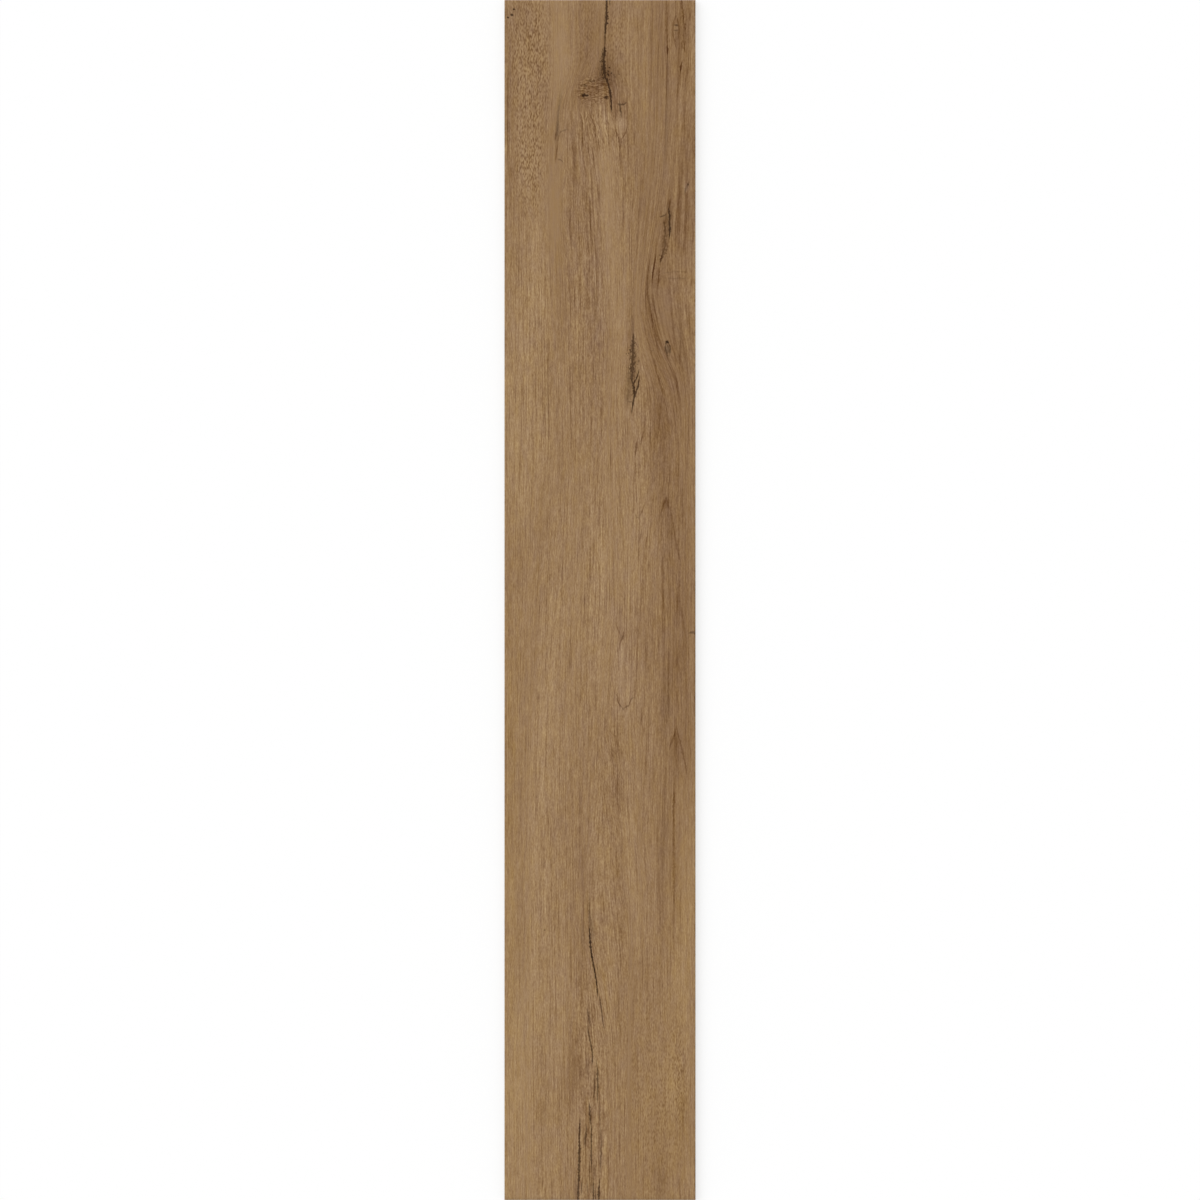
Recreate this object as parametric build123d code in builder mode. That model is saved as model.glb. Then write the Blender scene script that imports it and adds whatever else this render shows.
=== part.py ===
"""A wood-look porcelain plank tile, pressed and fired as one piece.

The printed face is up. The origin is at the middle of the underside, with +X across
the plank, +Y along it and +Z up through its thickness. All sizes are in millimetres.
"""

import os

from build123d import *

# The plank, as ground to size after firing
tile_length = 1200.0
tile_width = 191.0
tile_thickness = 9.0

# The fine bevel that takes the sharp arris off all four edges of the face
bevel_width = 0.8
bevel_drop = 0.6

# The keyed back: a lattice of flat ribs round shallow cells that hold the adhesive
rim_width = 7.0
rib_width = 3.0
cell_target = 27.0
cell_corner = 3.0
cell_depth = 0.7
cell_draft = 40.0


def cells_in(span):
    """An even number of cells near the target size, so that a rib runs down the middle."""
    return 2 * max(1, round((span + rib_width) / (cell_target + rib_width) / 2))


field_width = tile_width - 2 * rim_width
field_length = tile_length - 2 * rim_width
cells_across = cells_in(field_width)
cells_along = cells_in(field_length)
pitch_across = (field_width + rib_width) / cells_across
pitch_along = (field_length + rib_width) / cells_along

with BuildPart() as plank_tile:
    # The pressed body
    with BuildSketch(Plane.XY):
        Rectangle(tile_width, tile_length)
    extrude(amount=tile_thickness)

    # The bevel: its drop is down the walls and its width is in across the face
    face = plank_tile.faces().sort_by(Axis.Z)[-1]
    chamfer(face.edges(), length=bevel_width, length2=bevel_drop, reference=face)

    # The cells, with clipped corners, drafted so that the pressing leaves its die
    with BuildSketch(Plane.XY) as cell_mouths:
        with GridLocations(pitch_across, pitch_along, cells_across, cells_along):
            Rectangle(pitch_across - rib_width, pitch_along - rib_width)
        chamfer(cell_mouths.vertices(), length=cell_corner)
    extrude(amount=cell_depth, taper=cell_draft, mode=Mode.SUBTRACT)

plank_tile.part.label = "plank_tile"

os.makedirs("parts", exist_ok=True)
export_step(plank_tile.part, "parts/plank_tile.step")

print(f"plank {tile_width:g} x {tile_length:g} x {tile_thickness:g} mm")
print(f"back {cells_across} x {cells_along} cells of "
      f"{pitch_across - rib_width:.2f} x {pitch_along - rib_width:.2f} mm")
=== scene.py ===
# %% [markdown]
# A wood-look porcelain plank.
# The real object is one slab of pressed and fired porcelain, with the picture of an old oak board printed
# under a matte glaze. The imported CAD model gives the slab's true size, its bevel and its keyed back, so this
# script only adds what CAD leaves out: the grain printed on the face, its fine relief, and the bare fired
# body on the edges and the back.

# %% Load the frame
import math

import bmesh
import bpy
import numpy as np
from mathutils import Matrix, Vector


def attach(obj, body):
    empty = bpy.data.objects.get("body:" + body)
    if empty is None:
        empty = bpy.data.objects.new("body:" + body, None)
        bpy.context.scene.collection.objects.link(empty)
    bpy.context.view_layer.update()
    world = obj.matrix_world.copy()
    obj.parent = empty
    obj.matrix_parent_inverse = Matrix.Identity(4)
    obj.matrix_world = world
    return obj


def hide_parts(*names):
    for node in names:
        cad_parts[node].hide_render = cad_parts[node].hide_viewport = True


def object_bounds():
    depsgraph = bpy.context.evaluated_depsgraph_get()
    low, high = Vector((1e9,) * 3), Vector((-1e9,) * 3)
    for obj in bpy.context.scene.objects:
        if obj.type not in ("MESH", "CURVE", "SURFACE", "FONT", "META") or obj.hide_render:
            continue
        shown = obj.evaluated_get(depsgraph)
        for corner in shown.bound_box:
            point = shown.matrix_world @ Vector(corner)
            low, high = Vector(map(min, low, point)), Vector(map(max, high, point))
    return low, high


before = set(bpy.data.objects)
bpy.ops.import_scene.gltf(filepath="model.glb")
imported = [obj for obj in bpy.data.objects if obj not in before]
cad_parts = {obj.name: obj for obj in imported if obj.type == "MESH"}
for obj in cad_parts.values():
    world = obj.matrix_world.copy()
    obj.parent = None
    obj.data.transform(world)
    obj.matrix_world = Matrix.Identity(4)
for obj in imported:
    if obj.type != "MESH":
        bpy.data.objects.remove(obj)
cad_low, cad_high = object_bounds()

MM = 0.001
cad_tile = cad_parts["plank_tile"]
tile_width, tile_length, tile_thickness = (cad_high - cad_low) / MM
print(f"The tile is {tile_width:.1f} x {tile_length:.1f} x {tile_thickness:.1f} mm")

# %% [markdown]
# The camera.
# The plank is seen square-on from above and fills the height of a square picture. An orthographic camera
# would draw it without any perspective, but a long lens from far away does nearly the same and still works
# when the camera is moved round the object. With the picture's top towards +Y, the plank's head end is up.
# The frame is a hair shorter than the plank, so that no line of floor shows along its ends.

# %% Look straight down
LENS = 150.0
SENSOR = 36.0
FRAME_OVER_TILE = 0.9998

camera_data = bpy.data.cameras.new("plan_camera")
camera_data.lens = LENS
camera_data.sensor_width = SENSOR
camera = bpy.data.objects.new("plan_camera", camera_data)
bpy.context.collection.objects.link(camera)
frame_height = tile_length * FRAME_OVER_TILE * MM
camera.location = (0.0, 0.0, cad_high.z + frame_height * LENS / SENSOR)
bpy.context.scene.camera = camera
bpy.context.scene.view_settings.view_transform = "Standard"
print(f"The camera is {camera.location.z:.2f} m above the floor")

# %% [markdown]
# One small class for every node tree.
# Shader maths drawn node by node is hard to read. This class wraps one output socket and gives it the
# arithmetic operators, so that a mask is written as a formula and each operator adds its Math node. Every
# other node comes from one method, which makes the node, sets it up and wires its inputs.

# %% A wire between nodes
class Wire:
    """An output socket of a node tree, with operators that add Math nodes to that tree."""

    def __init__(self, tree, socket):
        self.tree = tree
        self.socket = socket

    @classmethod
    def node(cls, tree, kind, settings=None, inputs=None, output=0):
        """Add a node, set it up, fill or link its inputs, and return one of its outputs, if it has any."""
        made = tree.nodes.new(kind)
        for name, value in (settings or {}).items():
            if name == "stops":
                cls.set_stops(made.color_ramp, value)
            else:
                setattr(made, name, value)
        for name, value in (inputs or {}).items():
            if isinstance(value, cls):
                tree.links.new(value.socket, made.inputs[name])
            else:
                made.inputs[name].default_value = value
        return cls(tree, made.outputs[output]) if made.outputs else None

    @staticmethod
    def set_stops(ramp, stops):
        """Give a colour ramp these (position, colour) stops in place of its own two."""
        while len(ramp.elements) < len(stops):
            ramp.elements.new(1.0)
        for element, (position, colour) in zip(ramp.elements, stops):
            element.position = position
            element.color = colour

    def math(self, operation, *others, clamp=False, reverse=False):
        """A Math node on this wire and the others, which are wires or numbers."""
        values = [self, *others]
        if reverse:
            values.reverse()
        settings = {"operation": operation, "use_clamp": clamp}
        return Wire.node(self.tree, "ShaderNodeMath", settings, dict(enumerate(values)))

    def __add__(self, other):
        return self.math("ADD", other)

    __radd__ = __add__

    def __sub__(self, other):
        return self.math("SUBTRACT", other)

    def __rsub__(self, other):
        return self.math("SUBTRACT", other, reverse=True)

    def __mul__(self, other):
        return self.math("MULTIPLY", other)

    __rmul__ = __mul__

    def __truediv__(self, other):
        return self.math("DIVIDE", other)

    def __abs__(self):
        return self.math("ABSOLUTE")

    def clamped(self):
        """This wire held between 0 and 1."""
        return self.math("ADD", 0.0, clamp=True)

    def ramp_up(self, start, end):
        """0 below start, 1 above end, and a straight slope between them."""
        return ((self - start) * (1.0 / (end - start))).clamped()

    def parts(self):
        """The three numbers of a vector wire."""
        split = Wire.node(self.tree, "ShaderNodeSeparateXYZ", inputs={0: self}).socket.node
        return [Wire(self.tree, output) for output in split.outputs]


def joined(tree, x, y, z):
    """A vector wire from three wires or numbers."""
    return Wire.node(tree, "ShaderNodeCombineXYZ", inputs={"X": x, "Y": y, "Z": z})


def noise(tree, vector, detail=0.0):
    """Smooth noise between 0 and 1, with features about one unit of the vector apart."""
    values = {"Vector": vector, "Scale": 1.0, "Detail": detail}
    return Wire.node(tree, "ShaderNodeTexNoise", inputs=values)


def mixed(tree, share, first, second):
    """A colour between two, by a share from 0 to 1."""
    values = {0: share, 6: first, 7: second}
    return Wire.node(tree, "ShaderNodeMix", {"data_type": "RGBA"}, values, output=2)


def new_material(name):
    """An empty node material and its tree."""
    material = bpy.data.materials.new(name)
    material.use_nodes = True
    material.node_tree.nodes.clear()
    return material, material.node_tree


def show_surface(tree, shader):
    """Send a shader wire to the material's output."""
    Wire.node(tree, "ShaderNodeOutputMaterial", inputs={"Surface": shader})


def from_screen(red, green, blue):
    """The linear colour of screen levels from 0 to 255."""
    linear = [
        level / 12.92 if level <= 0.04045 else ((level + 0.055) / 1.055) ** 2.4
        for level in (red / 255, green / 255, blue / 255)
    ]
    return (*linear, 1.0)


print("The node helpers are ready")

# %% [markdown]
# The set.
# A white sweep and soft, even light, as for a catalogue picture. An even world gives most of the light, and
# one very wide sun from the upper left gives the bevel and the grain a little shape. Together they light a
# flat white card to just about 1, so a colour renders as it is written. The floor is part grey, to take the
# slab's shadow, and part glow that only the camera and reflections see, so that it looks white.

# %% Light and floor
WORLD_LEVEL = 0.62
SUN_LEVEL = 0.38
SUN_SPREAD = math.radians(70.0)
SUN_TILT = math.radians(38.0)
SUN_TURN = math.radians(40.0)
FLOOR_SIZE = 14.0
FLOOR_GREY = 0.40
GLOW = 0.60

world = bpy.data.worlds.new("studio")
world.use_nodes = True
world.node_tree.nodes.clear()
bpy.context.scene.world = world


def seen_rays(tree):
    """1 for a ray from the camera or a reflection, 0 for a ray that only carries light."""
    paths = Wire.node(tree, "ShaderNodeLightPath").socket.node.outputs
    camera_ray, glossy_ray, clear_ray = (
        Wire(tree, paths[name]) for name in ("Is Camera Ray", "Is Glossy Ray", "Is Transmission Ray")
    )
    return camera_ray.math("MAXIMUM", glossy_ray).math("MAXIMUM", clear_ray)


seen = seen_rays(world.node_tree)
level = seen + (1 - seen) * WORLD_LEVEL
backdrop = Wire.node(
    world.node_tree, "ShaderNodeBackground", inputs={"Color": (1, 1, 1, 1), "Strength": level}
)
Wire.node(world.node_tree, "ShaderNodeOutputWorld", inputs={"Surface": backdrop})

sun_data = bpy.data.lights.new("wide_sun", "SUN")
sun_data.energy = SUN_LEVEL * math.pi / math.cos(SUN_TILT)
sun_data.angle = SUN_SPREAD
sun = bpy.data.objects.new("wide_sun", sun_data)
sun.rotation_euler = (-SUN_TILT, 0.0, SUN_TURN)
bpy.context.collection.objects.link(sun)

floor_mesh = bpy.data.meshes.new("floor")
half = FLOOR_SIZE / 2
corners = [(-half, -half, 0), (half, -half, 0), (half, half, 0), (-half, half, 0)]
floor_mesh.from_pydata(corners, [], [(0, 1, 2, 3)])
floor = bpy.data.objects.new("floor", floor_mesh)
bpy.context.collection.objects.link(floor)

floor_material, tree = new_material("white_sweep")
grey = Wire.node(tree, "ShaderNodeBsdfDiffuse", inputs={"Color": (FLOOR_GREY,) * 3 + (1,)})
glow = Wire.node(
    tree, "ShaderNodeEmission", inputs={"Color": (1, 1, 1, 1), "Strength": seen_rays(tree) * GLOW}
)
show_surface(tree, Wire.node(tree, "ShaderNodeAddShader", inputs={0: grey, 1: glow}))
floor_mesh.materials.append(floor_material)
print("The floor, the world and the sun are in place")

# %% [markdown]
# Where the printed marks lie.
# The board in the print is described as a joiner would describe it: each mark has a place in millimetres,
# across from the plank's middle line and down from its head end. A sheet of small squares covers the
# printed face, and each of its points carries numbers that say what is printed there. The shader blends
# those numbers between the points, so long soft marks stay smooth and a thin crack can still be sharp,
# because what is carried is the distance from it and not its colour.

# %% The sheet's points
COLUMNS = 272
ROWS = 330
FACE_TOLERANCE = 0.01

cad_points = np.array([vertex.co for vertex in cad_tile.data.vertices]) / MM
on_face = cad_points[:, 2] > tile_thickness - FACE_TOLERANCE
face_half_width, face_half_length = cad_points[on_face, :2].max(axis=0)

across_line = np.linspace(-face_half_width, face_half_width, COLUMNS + 1)
down_line = tile_length / 2 - np.linspace(face_half_length, -face_half_length, ROWS + 1)
down, across = np.meshgrid(down_line, across_line, indexing="ij")
print(f"The face is {2 * face_half_width:.1f} x {2 * face_half_length:.1f} mm, {across.size} points")

# %% [markdown]
# The run of the grain.
# Straight noise would look like corduroy. Real grain bends round knots and opens below them, so a dozen
# grain lines were chosen, from the left edge to the right, each as a few (down, across) points. A
# point between two lines is numbered between theirs, and that number is the grain coordinate: along one
# grain line it stays the same. Every streak of the print is drawn in that bent coordinate.

# %% Grain lines
GRAIN_LINES = {
    -95.5: [(0, -95.5)],
    -75: [(0, -72), (240, -73), (480, -72), (600, -74), (720, -78), (870, -80), (1200, -78)],
    -57: [(0, -48), (90, -48), (150, -51), (250, -50), (450, -48), (510, -54), (580, -59), (660, -63),
          (780, -67), (870, -69), (1200, -68)],
    -36: [(0, -28), (70, -28), (110, -37), (150, -38), (230, -36), (330, -32), (450, -29), (520, -30),
          (600, -33), (700, -37), (900, -40), (1200, -37)],
    -17: [(0, -10), (60, -11), (85, -22), (100, -23), (115, -19), (142, -17), (217, -13), (257, -10),
          (430, -10), (520, -15), (700, -18), (900, -21), (1000, -22.5), (1200, -23)],
    -3: [(0, 1), (60, -2), (92, -8), (115, -11), (142, -3), (183, 0), (290, 4), (380, 6), (600, 4),
         (700, -2), (800, -7), (870, -12), (913, -12), (940, -10), (973, -4), (998, 0), (1040, 6.7),
         (1200, 7)],
    16: [(0, 8), (40, 4.5), (70, 4), (90, 10), (133, 12), (167, 15), (217, 17), (290, 20), (340, 19),
         (373, 16), (407, 15), (540, 18), (620, 17), (700, 12), (733, 11), (763, 15), (807, 15),
         (837, 20), (870, 20), (895, 23), (940, 28), (1030, 28), (1200, 26)],
    34: [(0, 40), (120, 40), (180, 38), (240, 35), (340, 33), (413, 31), (470, 34), (663, 33), (700, 31),
         (760, 33), (840, 36), (900, 39), (973, 34), (1032, 31), (1200, 33)],
    45: [(0, 50), (167, 47), (233, 42), (260, 38.5), (307, 36), (332, 37.5), (348, 40), (367, 45),
         (382, 49), (400, 51), (490, 50), (573, 45), (697, 46), (778, 44), (837, 41.5), (900, 45),
         (1200, 45)],
    62: [(0, 60), (133, 57), (217, 49), (260, 43.5), (307, 39.5), (332, 44), (348, 49), (367, 55),
         (382, 60), (400, 64), (440, 70), (473, 70), (510, 67), (560, 67), (630, 70), (760, 69),
         (850, 67), (1200, 68)],
    76: [(0, 70), (133, 67), (183, 65), (217, 60), (260, 52.5), (283, 49), (300, 50), (315, 53),
         (332, 57), (347, 62), (360, 68), (373, 75.5), (390, 80), (407, 82), (500, 83), (1200, 82)],
    85: [(0, 82), (67, 81), (133, 77), (200, 73), (250, 70), (307, 73), (333, 77), (348, 80), (373, 85),
         (400, 87), (500, 89), (1200, 89)],
    95.5: [(0, 95.5)],
}
LINE_SMOOTHING = 7.0


def smoothed(values, spacing, spread):
    """Values along a line, evened out with a bell-shaped window of that spread."""
    reach = int(math.ceil(3 * spread / spacing))
    steps = np.arange(-reach, reach + 1) * spacing
    window = np.exp(-0.5 * (steps / spread) ** 2)
    padded = np.pad(values, reach, mode="edge")
    return np.convolve(padded, window / window.sum(), mode="valid")


row_step = down_line[1] - down_line[0]
line_numbers = np.array(list(GRAIN_LINES))
line_places = np.array([
    smoothed(np.interp(down_line, *zip(*points)), row_step, LINE_SMOOTHING)
    for points in GRAIN_LINES.values()
])
grain = np.array([
    np.interp(across_line, line_places[:, row], line_numbers) for row in range(ROWS + 1)
])


def grain_at(place_across, place_down):
    """The grain coordinate of one place on the face, and how much it grows there with each mm across."""
    row = int(np.abs(down_line - place_down).argmin())
    beside = [place_across - 1.0, place_across, place_across + 1.0]
    left, middle, right = np.interp(beside, line_places[:, row], line_numbers)
    return middle, (right - left) / 2


print(f"{len(GRAIN_LINES)} grain lines, none crossing: {bool((np.diff(line_places, axis=0) > 0).all())}")

# %% [markdown]
# Broad bands of tone.
# A plank is never one brown. Earlywood, stain and the rays leave long soft bands, paler or darker by a few
# screen levels, warmer or greyer, and places where the grain is smooth, ringed or broken into short flecks.
# Each band here is a soft oval that follows the grain lines. Most only change tone and warmth, and are
# written in short as (across, down, half width, half length, tone, warmth). The others are written out, with
# what they do to grain strength, flecks and rings.

# %% Bands of tone
TONE_BANDS = [
    # The pale left half and the calm middle
    (-76, 430, 26, 130, 9, 1), (-62, 300, 14, 90, 5, 0), (-50, 690, 16, 150, 7, 0),
    (-66, 880, 16, 140, 6, 0), (-76, 1090, 22, 170, 9, 1), (-42, 1060, 12, 130, 4, 0),
    (2, 580, 40, 140, 6, 0), (-89, 760, 6, 170, 0, 4), (-88, 1060, 8, 160, 0, 2),
    (-80, 560, 12, 30, -5, 0), (-72, 80, 24, 75, -4, 0), (-57, 350, 11, 45, -5, 0),
    (30, 535, 13, 50, 4, 0), (4, 862, 11, 35, 4, 0), (-89, 885, 7, 35, 5, 1),
    # The dark right-hand side
    (84, 30, 9, 60, -9, 0), (64, 450, 12, 60, -9, 0), (61, 405, 10, 50, -9, 0), (84, 240, 9, 40, -4, 0),
    (33, 300, 5, 40, -4, 0), (80, 505, 14, 30, -4, 0), (90, 745, 7, 60, -5, 0),
    (86, 610, 9, 110, -6, 0), (69, 668, 6, 22, -6, 0),
    # Round the head crack and the knot
    (5, 40, 8, 45, -8, 0), (3, 72, 8, 16, -14, 0), (-6, 91, 16, 13, -16, 0), (14, 100, 9, 20, -10, 0),
    (30, 120, 10, 50, -7, 0), (-10, 145, 14, 60, -5, 0), (22, 60, 10, 40, 6, 0),
    (-90, 130, 7, 80, -4, 0), (60, 30, 16, 60, -4, 0),
    # Below the knot
    (-22, 210, 9, 80, -6, -1), (-4, 330, 8, 90, -6, -2), (33, 372, 4, 22, -8, -1),
    (-40, 300, 5, 60, -4, 0),
    # Lower half, right of the middle
    (33, 860, 7, 60, 7, 0), (45, 880, 7, 50, 4, 0), (18, 880, 9, 70, -3, 1), (89, 890, 9, 90, 9, 2),
    (80, 1010, 14, 80, 5, 2), (70, 1075, 6, 40, 5, 1), (62, 1130, 38, 80, 0, 3),
    (80, 930, 16, 60, 0, 1), (84, 870, 9, 60, -5, 0), (34, 985, 9, 40, -3, 0),
    (57, 1150, 10, 50, -4, 0),
    # Round the foot cracks
    (-15, 930, 6, 50, -5, 0), (-26, 1060, 8, 26, -9, 0), (-29, 1086, 9, 26, -9, 0),
    (-14, 1150, 8, 40, -4, 0), (8, 1030, 6, 50, 5, 1), (-50, 1085, 14, 75, -5, 0),
    (-63, 1115, 6, 60, -4, 0), (-58, 935, 16, 60, -3, 0),
    # Smaller patches, head to foot
    (-81, 20, 14, 26, -5, 0), (-3, 42, 8, 32, -4, 0), (91, 62, 6, 26, 6, 0), (91, 142, 6, 26, -6, 0),
    (-28, 222, 7, 26, -5, 0), (-3, 242, 8, 36, -5, 0), (-51, 262, 8, 55, -4, 0), (90, 282, 6, 36, 5, 0),
    (82, 362, 7, 36, -5, 0), (58, 425, 8, 55, -5, 0), (46, 425, 5, 26, 4, 0), (-63, 522, 8, 36, -5, 0),
    (33, 582, 7, 24, 4, 0), (-51, 622, 7, 24, 5, 0), (20, 620, 7, 20, -6, 0), (45, 622, 7, 24, -5, 0),
    (-75, 722, 8, 36, 4, 0), (63, 712, 9, 36, -4, 0), (76, 925, 10, 36, -4, 0),
    (74, 1040, 9, 36, -4, 0), (-3, 1104, 5, 20, 6, 0), (-15, 1182, 5, 20, 5, 0),
    (91, 1182, 6, 22, 5, 0),
    # Grey light in the calm middle
    (-2, 250, 15, 110, 0, -1), (30, 655, 16, 60, 0, -1), (36, 480, 9, 40, 3, -1),
]
BAND_POWER = 3
BAND_KEYS = ("tone", "warmth", "grain", "fleck", "rings")
printed = {key: np.zeros_like(across) for key in BAND_KEYS}


def oval_cover(place_across, place_down, half_width, half_length, power):
    """A soft oval that follows the grain: 1 in its middle, and steeper at its sides for a higher power."""
    middle, growth = grain_at(place_across, place_down)
    sideways = np.abs(grain - middle) / (half_width * growth)
    lengthways = (down - place_down) / half_length
    return np.exp(-(sideways ** power) - lengthways ** 2)


def add_ovals(ovals, power):
    """Add soft ovals to the printed tone and warmth."""
    for *oval, tone, warmth in ovals:
        cover = oval_cover(*oval, power)
        printed["tone"] += tone * cover
        printed["warmth"] += warmth * cover


add_ovals(TONE_BANDS, BAND_POWER)
print(f"{len(TONE_BANDS)} bands of tone")

# %% Bands of grain
GRAIN_BANDS = [
    # The dark right-hand side
    dict(at=(62, 60), size=(18, 120), tone=-5, rings=0.8, grain=-0.3),
    dict(at=(86, 175), size=(12, 70), tone=-9, rings=0.7, grain=-0.2),
    dict(at=(72, 365), size=(18, 75), tone=-13, rings=1.0, grain=-0.3),
    dict(at=(65, 318), size=(8, 34), tone=6, grain=-0.4, warmth=-1),
    dict(at=(76, 620), size=(17, 150), tone=-9, rings=0.5),
    dict(at=(72, 800), size=(10, 120), tone=-5, rings=0.5),
    dict(at=(45, 305), size=(7, 50), tone=-7, rings=0.8),
    dict(at=(47, 215), size=(9, 70), tone=-5, rings=0.6),
    dict(at=(66, 235), size=(20, 80), tone=-6, rings=0.7, grain=-0.2),
    dict(at=(42, 200), size=(8, 40), tone=-5, rings=0.4),
    # Round the head crack and the knot
    dict(at=(-41, 42), size=(11, 60), tone=8, grain=-0.6),
    dict(at=(-12, 42), size=(10, 60), tone=-11, rings=0.4),
    dict(at=(6, 185), size=(8, 50), tone=8, grain=-0.3),
    # Below the knot
    dict(at=(20, 310), size=(7, 70), tone=7, grain=-0.15),
    dict(at=(11, 255), size=(6, 60), tone=5, grain=-0.15),
    dict(at=(-46, 215), size=(6, 50), tone=3, grain=-0.5),
    # Lower half, right of the middle
    dict(at=(24, 668), size=(10, 42), tone=8, warmth=-3, rings=0.4),
    dict(at=(12, 770), size=(14, 60), tone=-4, grain=0.3),
    dict(at=(40, 1015), size=(10, 30), rings=0.7),
    # Where the grain is calm or strong, or breaks into flecks
    dict(at=(-72, 55), size=(21, 75), fleck=0.9, grain=-0.55),
    dict(at=(-71, 165), size=(15, 50), fleck=0.85, grain=-0.45),
    dict(at=(-46, 190), size=(11, 80), grain=-0.4),
    dict(at=(18, 35), size=(10, 45), fleck=0.5, grain=-0.85),
    dict(at=(-12, 35), size=(12, 45), fleck=0.55, grain=-0.75),
    dict(at=(39, 60), size=(10, 90), grain=-0.3),
    dict(at=(-4, 130), size=(18, 24), fleck=0.5, grain=0.4),
    dict(at=(-12, 300), size=(20, 120), grain=0.3),
    dict(at=(-68, 320), size=(20, 80), grain=0.15),
    dict(at=(-6, 91), size=(15, 12), grain=-0.7),
    dict(at=(-70, 600), size=(26, 260), grain=-0.12),
    dict(at=(70, 640), size=(26, 110), grain=-0.2),
    dict(at=(70, 840), size=(26, 80), grain=-0.3),
    dict(at=(-68, 1090), size=(26, 120), grain=-0.15),
    dict(at=(-6, 1070), size=(13, 120), grain=0.3, rings=0.3),
    dict(at=(-24, 1030), size=(8, 35), fleck=0.3),
    dict(at=(-33, 1130), size=(7, 25), fleck=0.5),
    dict(at=(56, 1095), size=(38, 110), fleck=0.45, grain=-0.55),
    dict(at=(82, 1075), size=(8, 45), fleck=0.5),
]

for band in GRAIN_BANDS:
    cover = oval_cover(*band["at"], *band["size"], BAND_POWER)
    for key in BAND_KEYS:
        printed[key] += band.get(key, 0.0) * cover
lowest, highest = printed["tone"].min(), printed["tone"].max()
print(f"{len(GRAIN_BANDS)} bands of grain, tone from {lowest:.1f} to {highest:.1f} levels")
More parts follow.
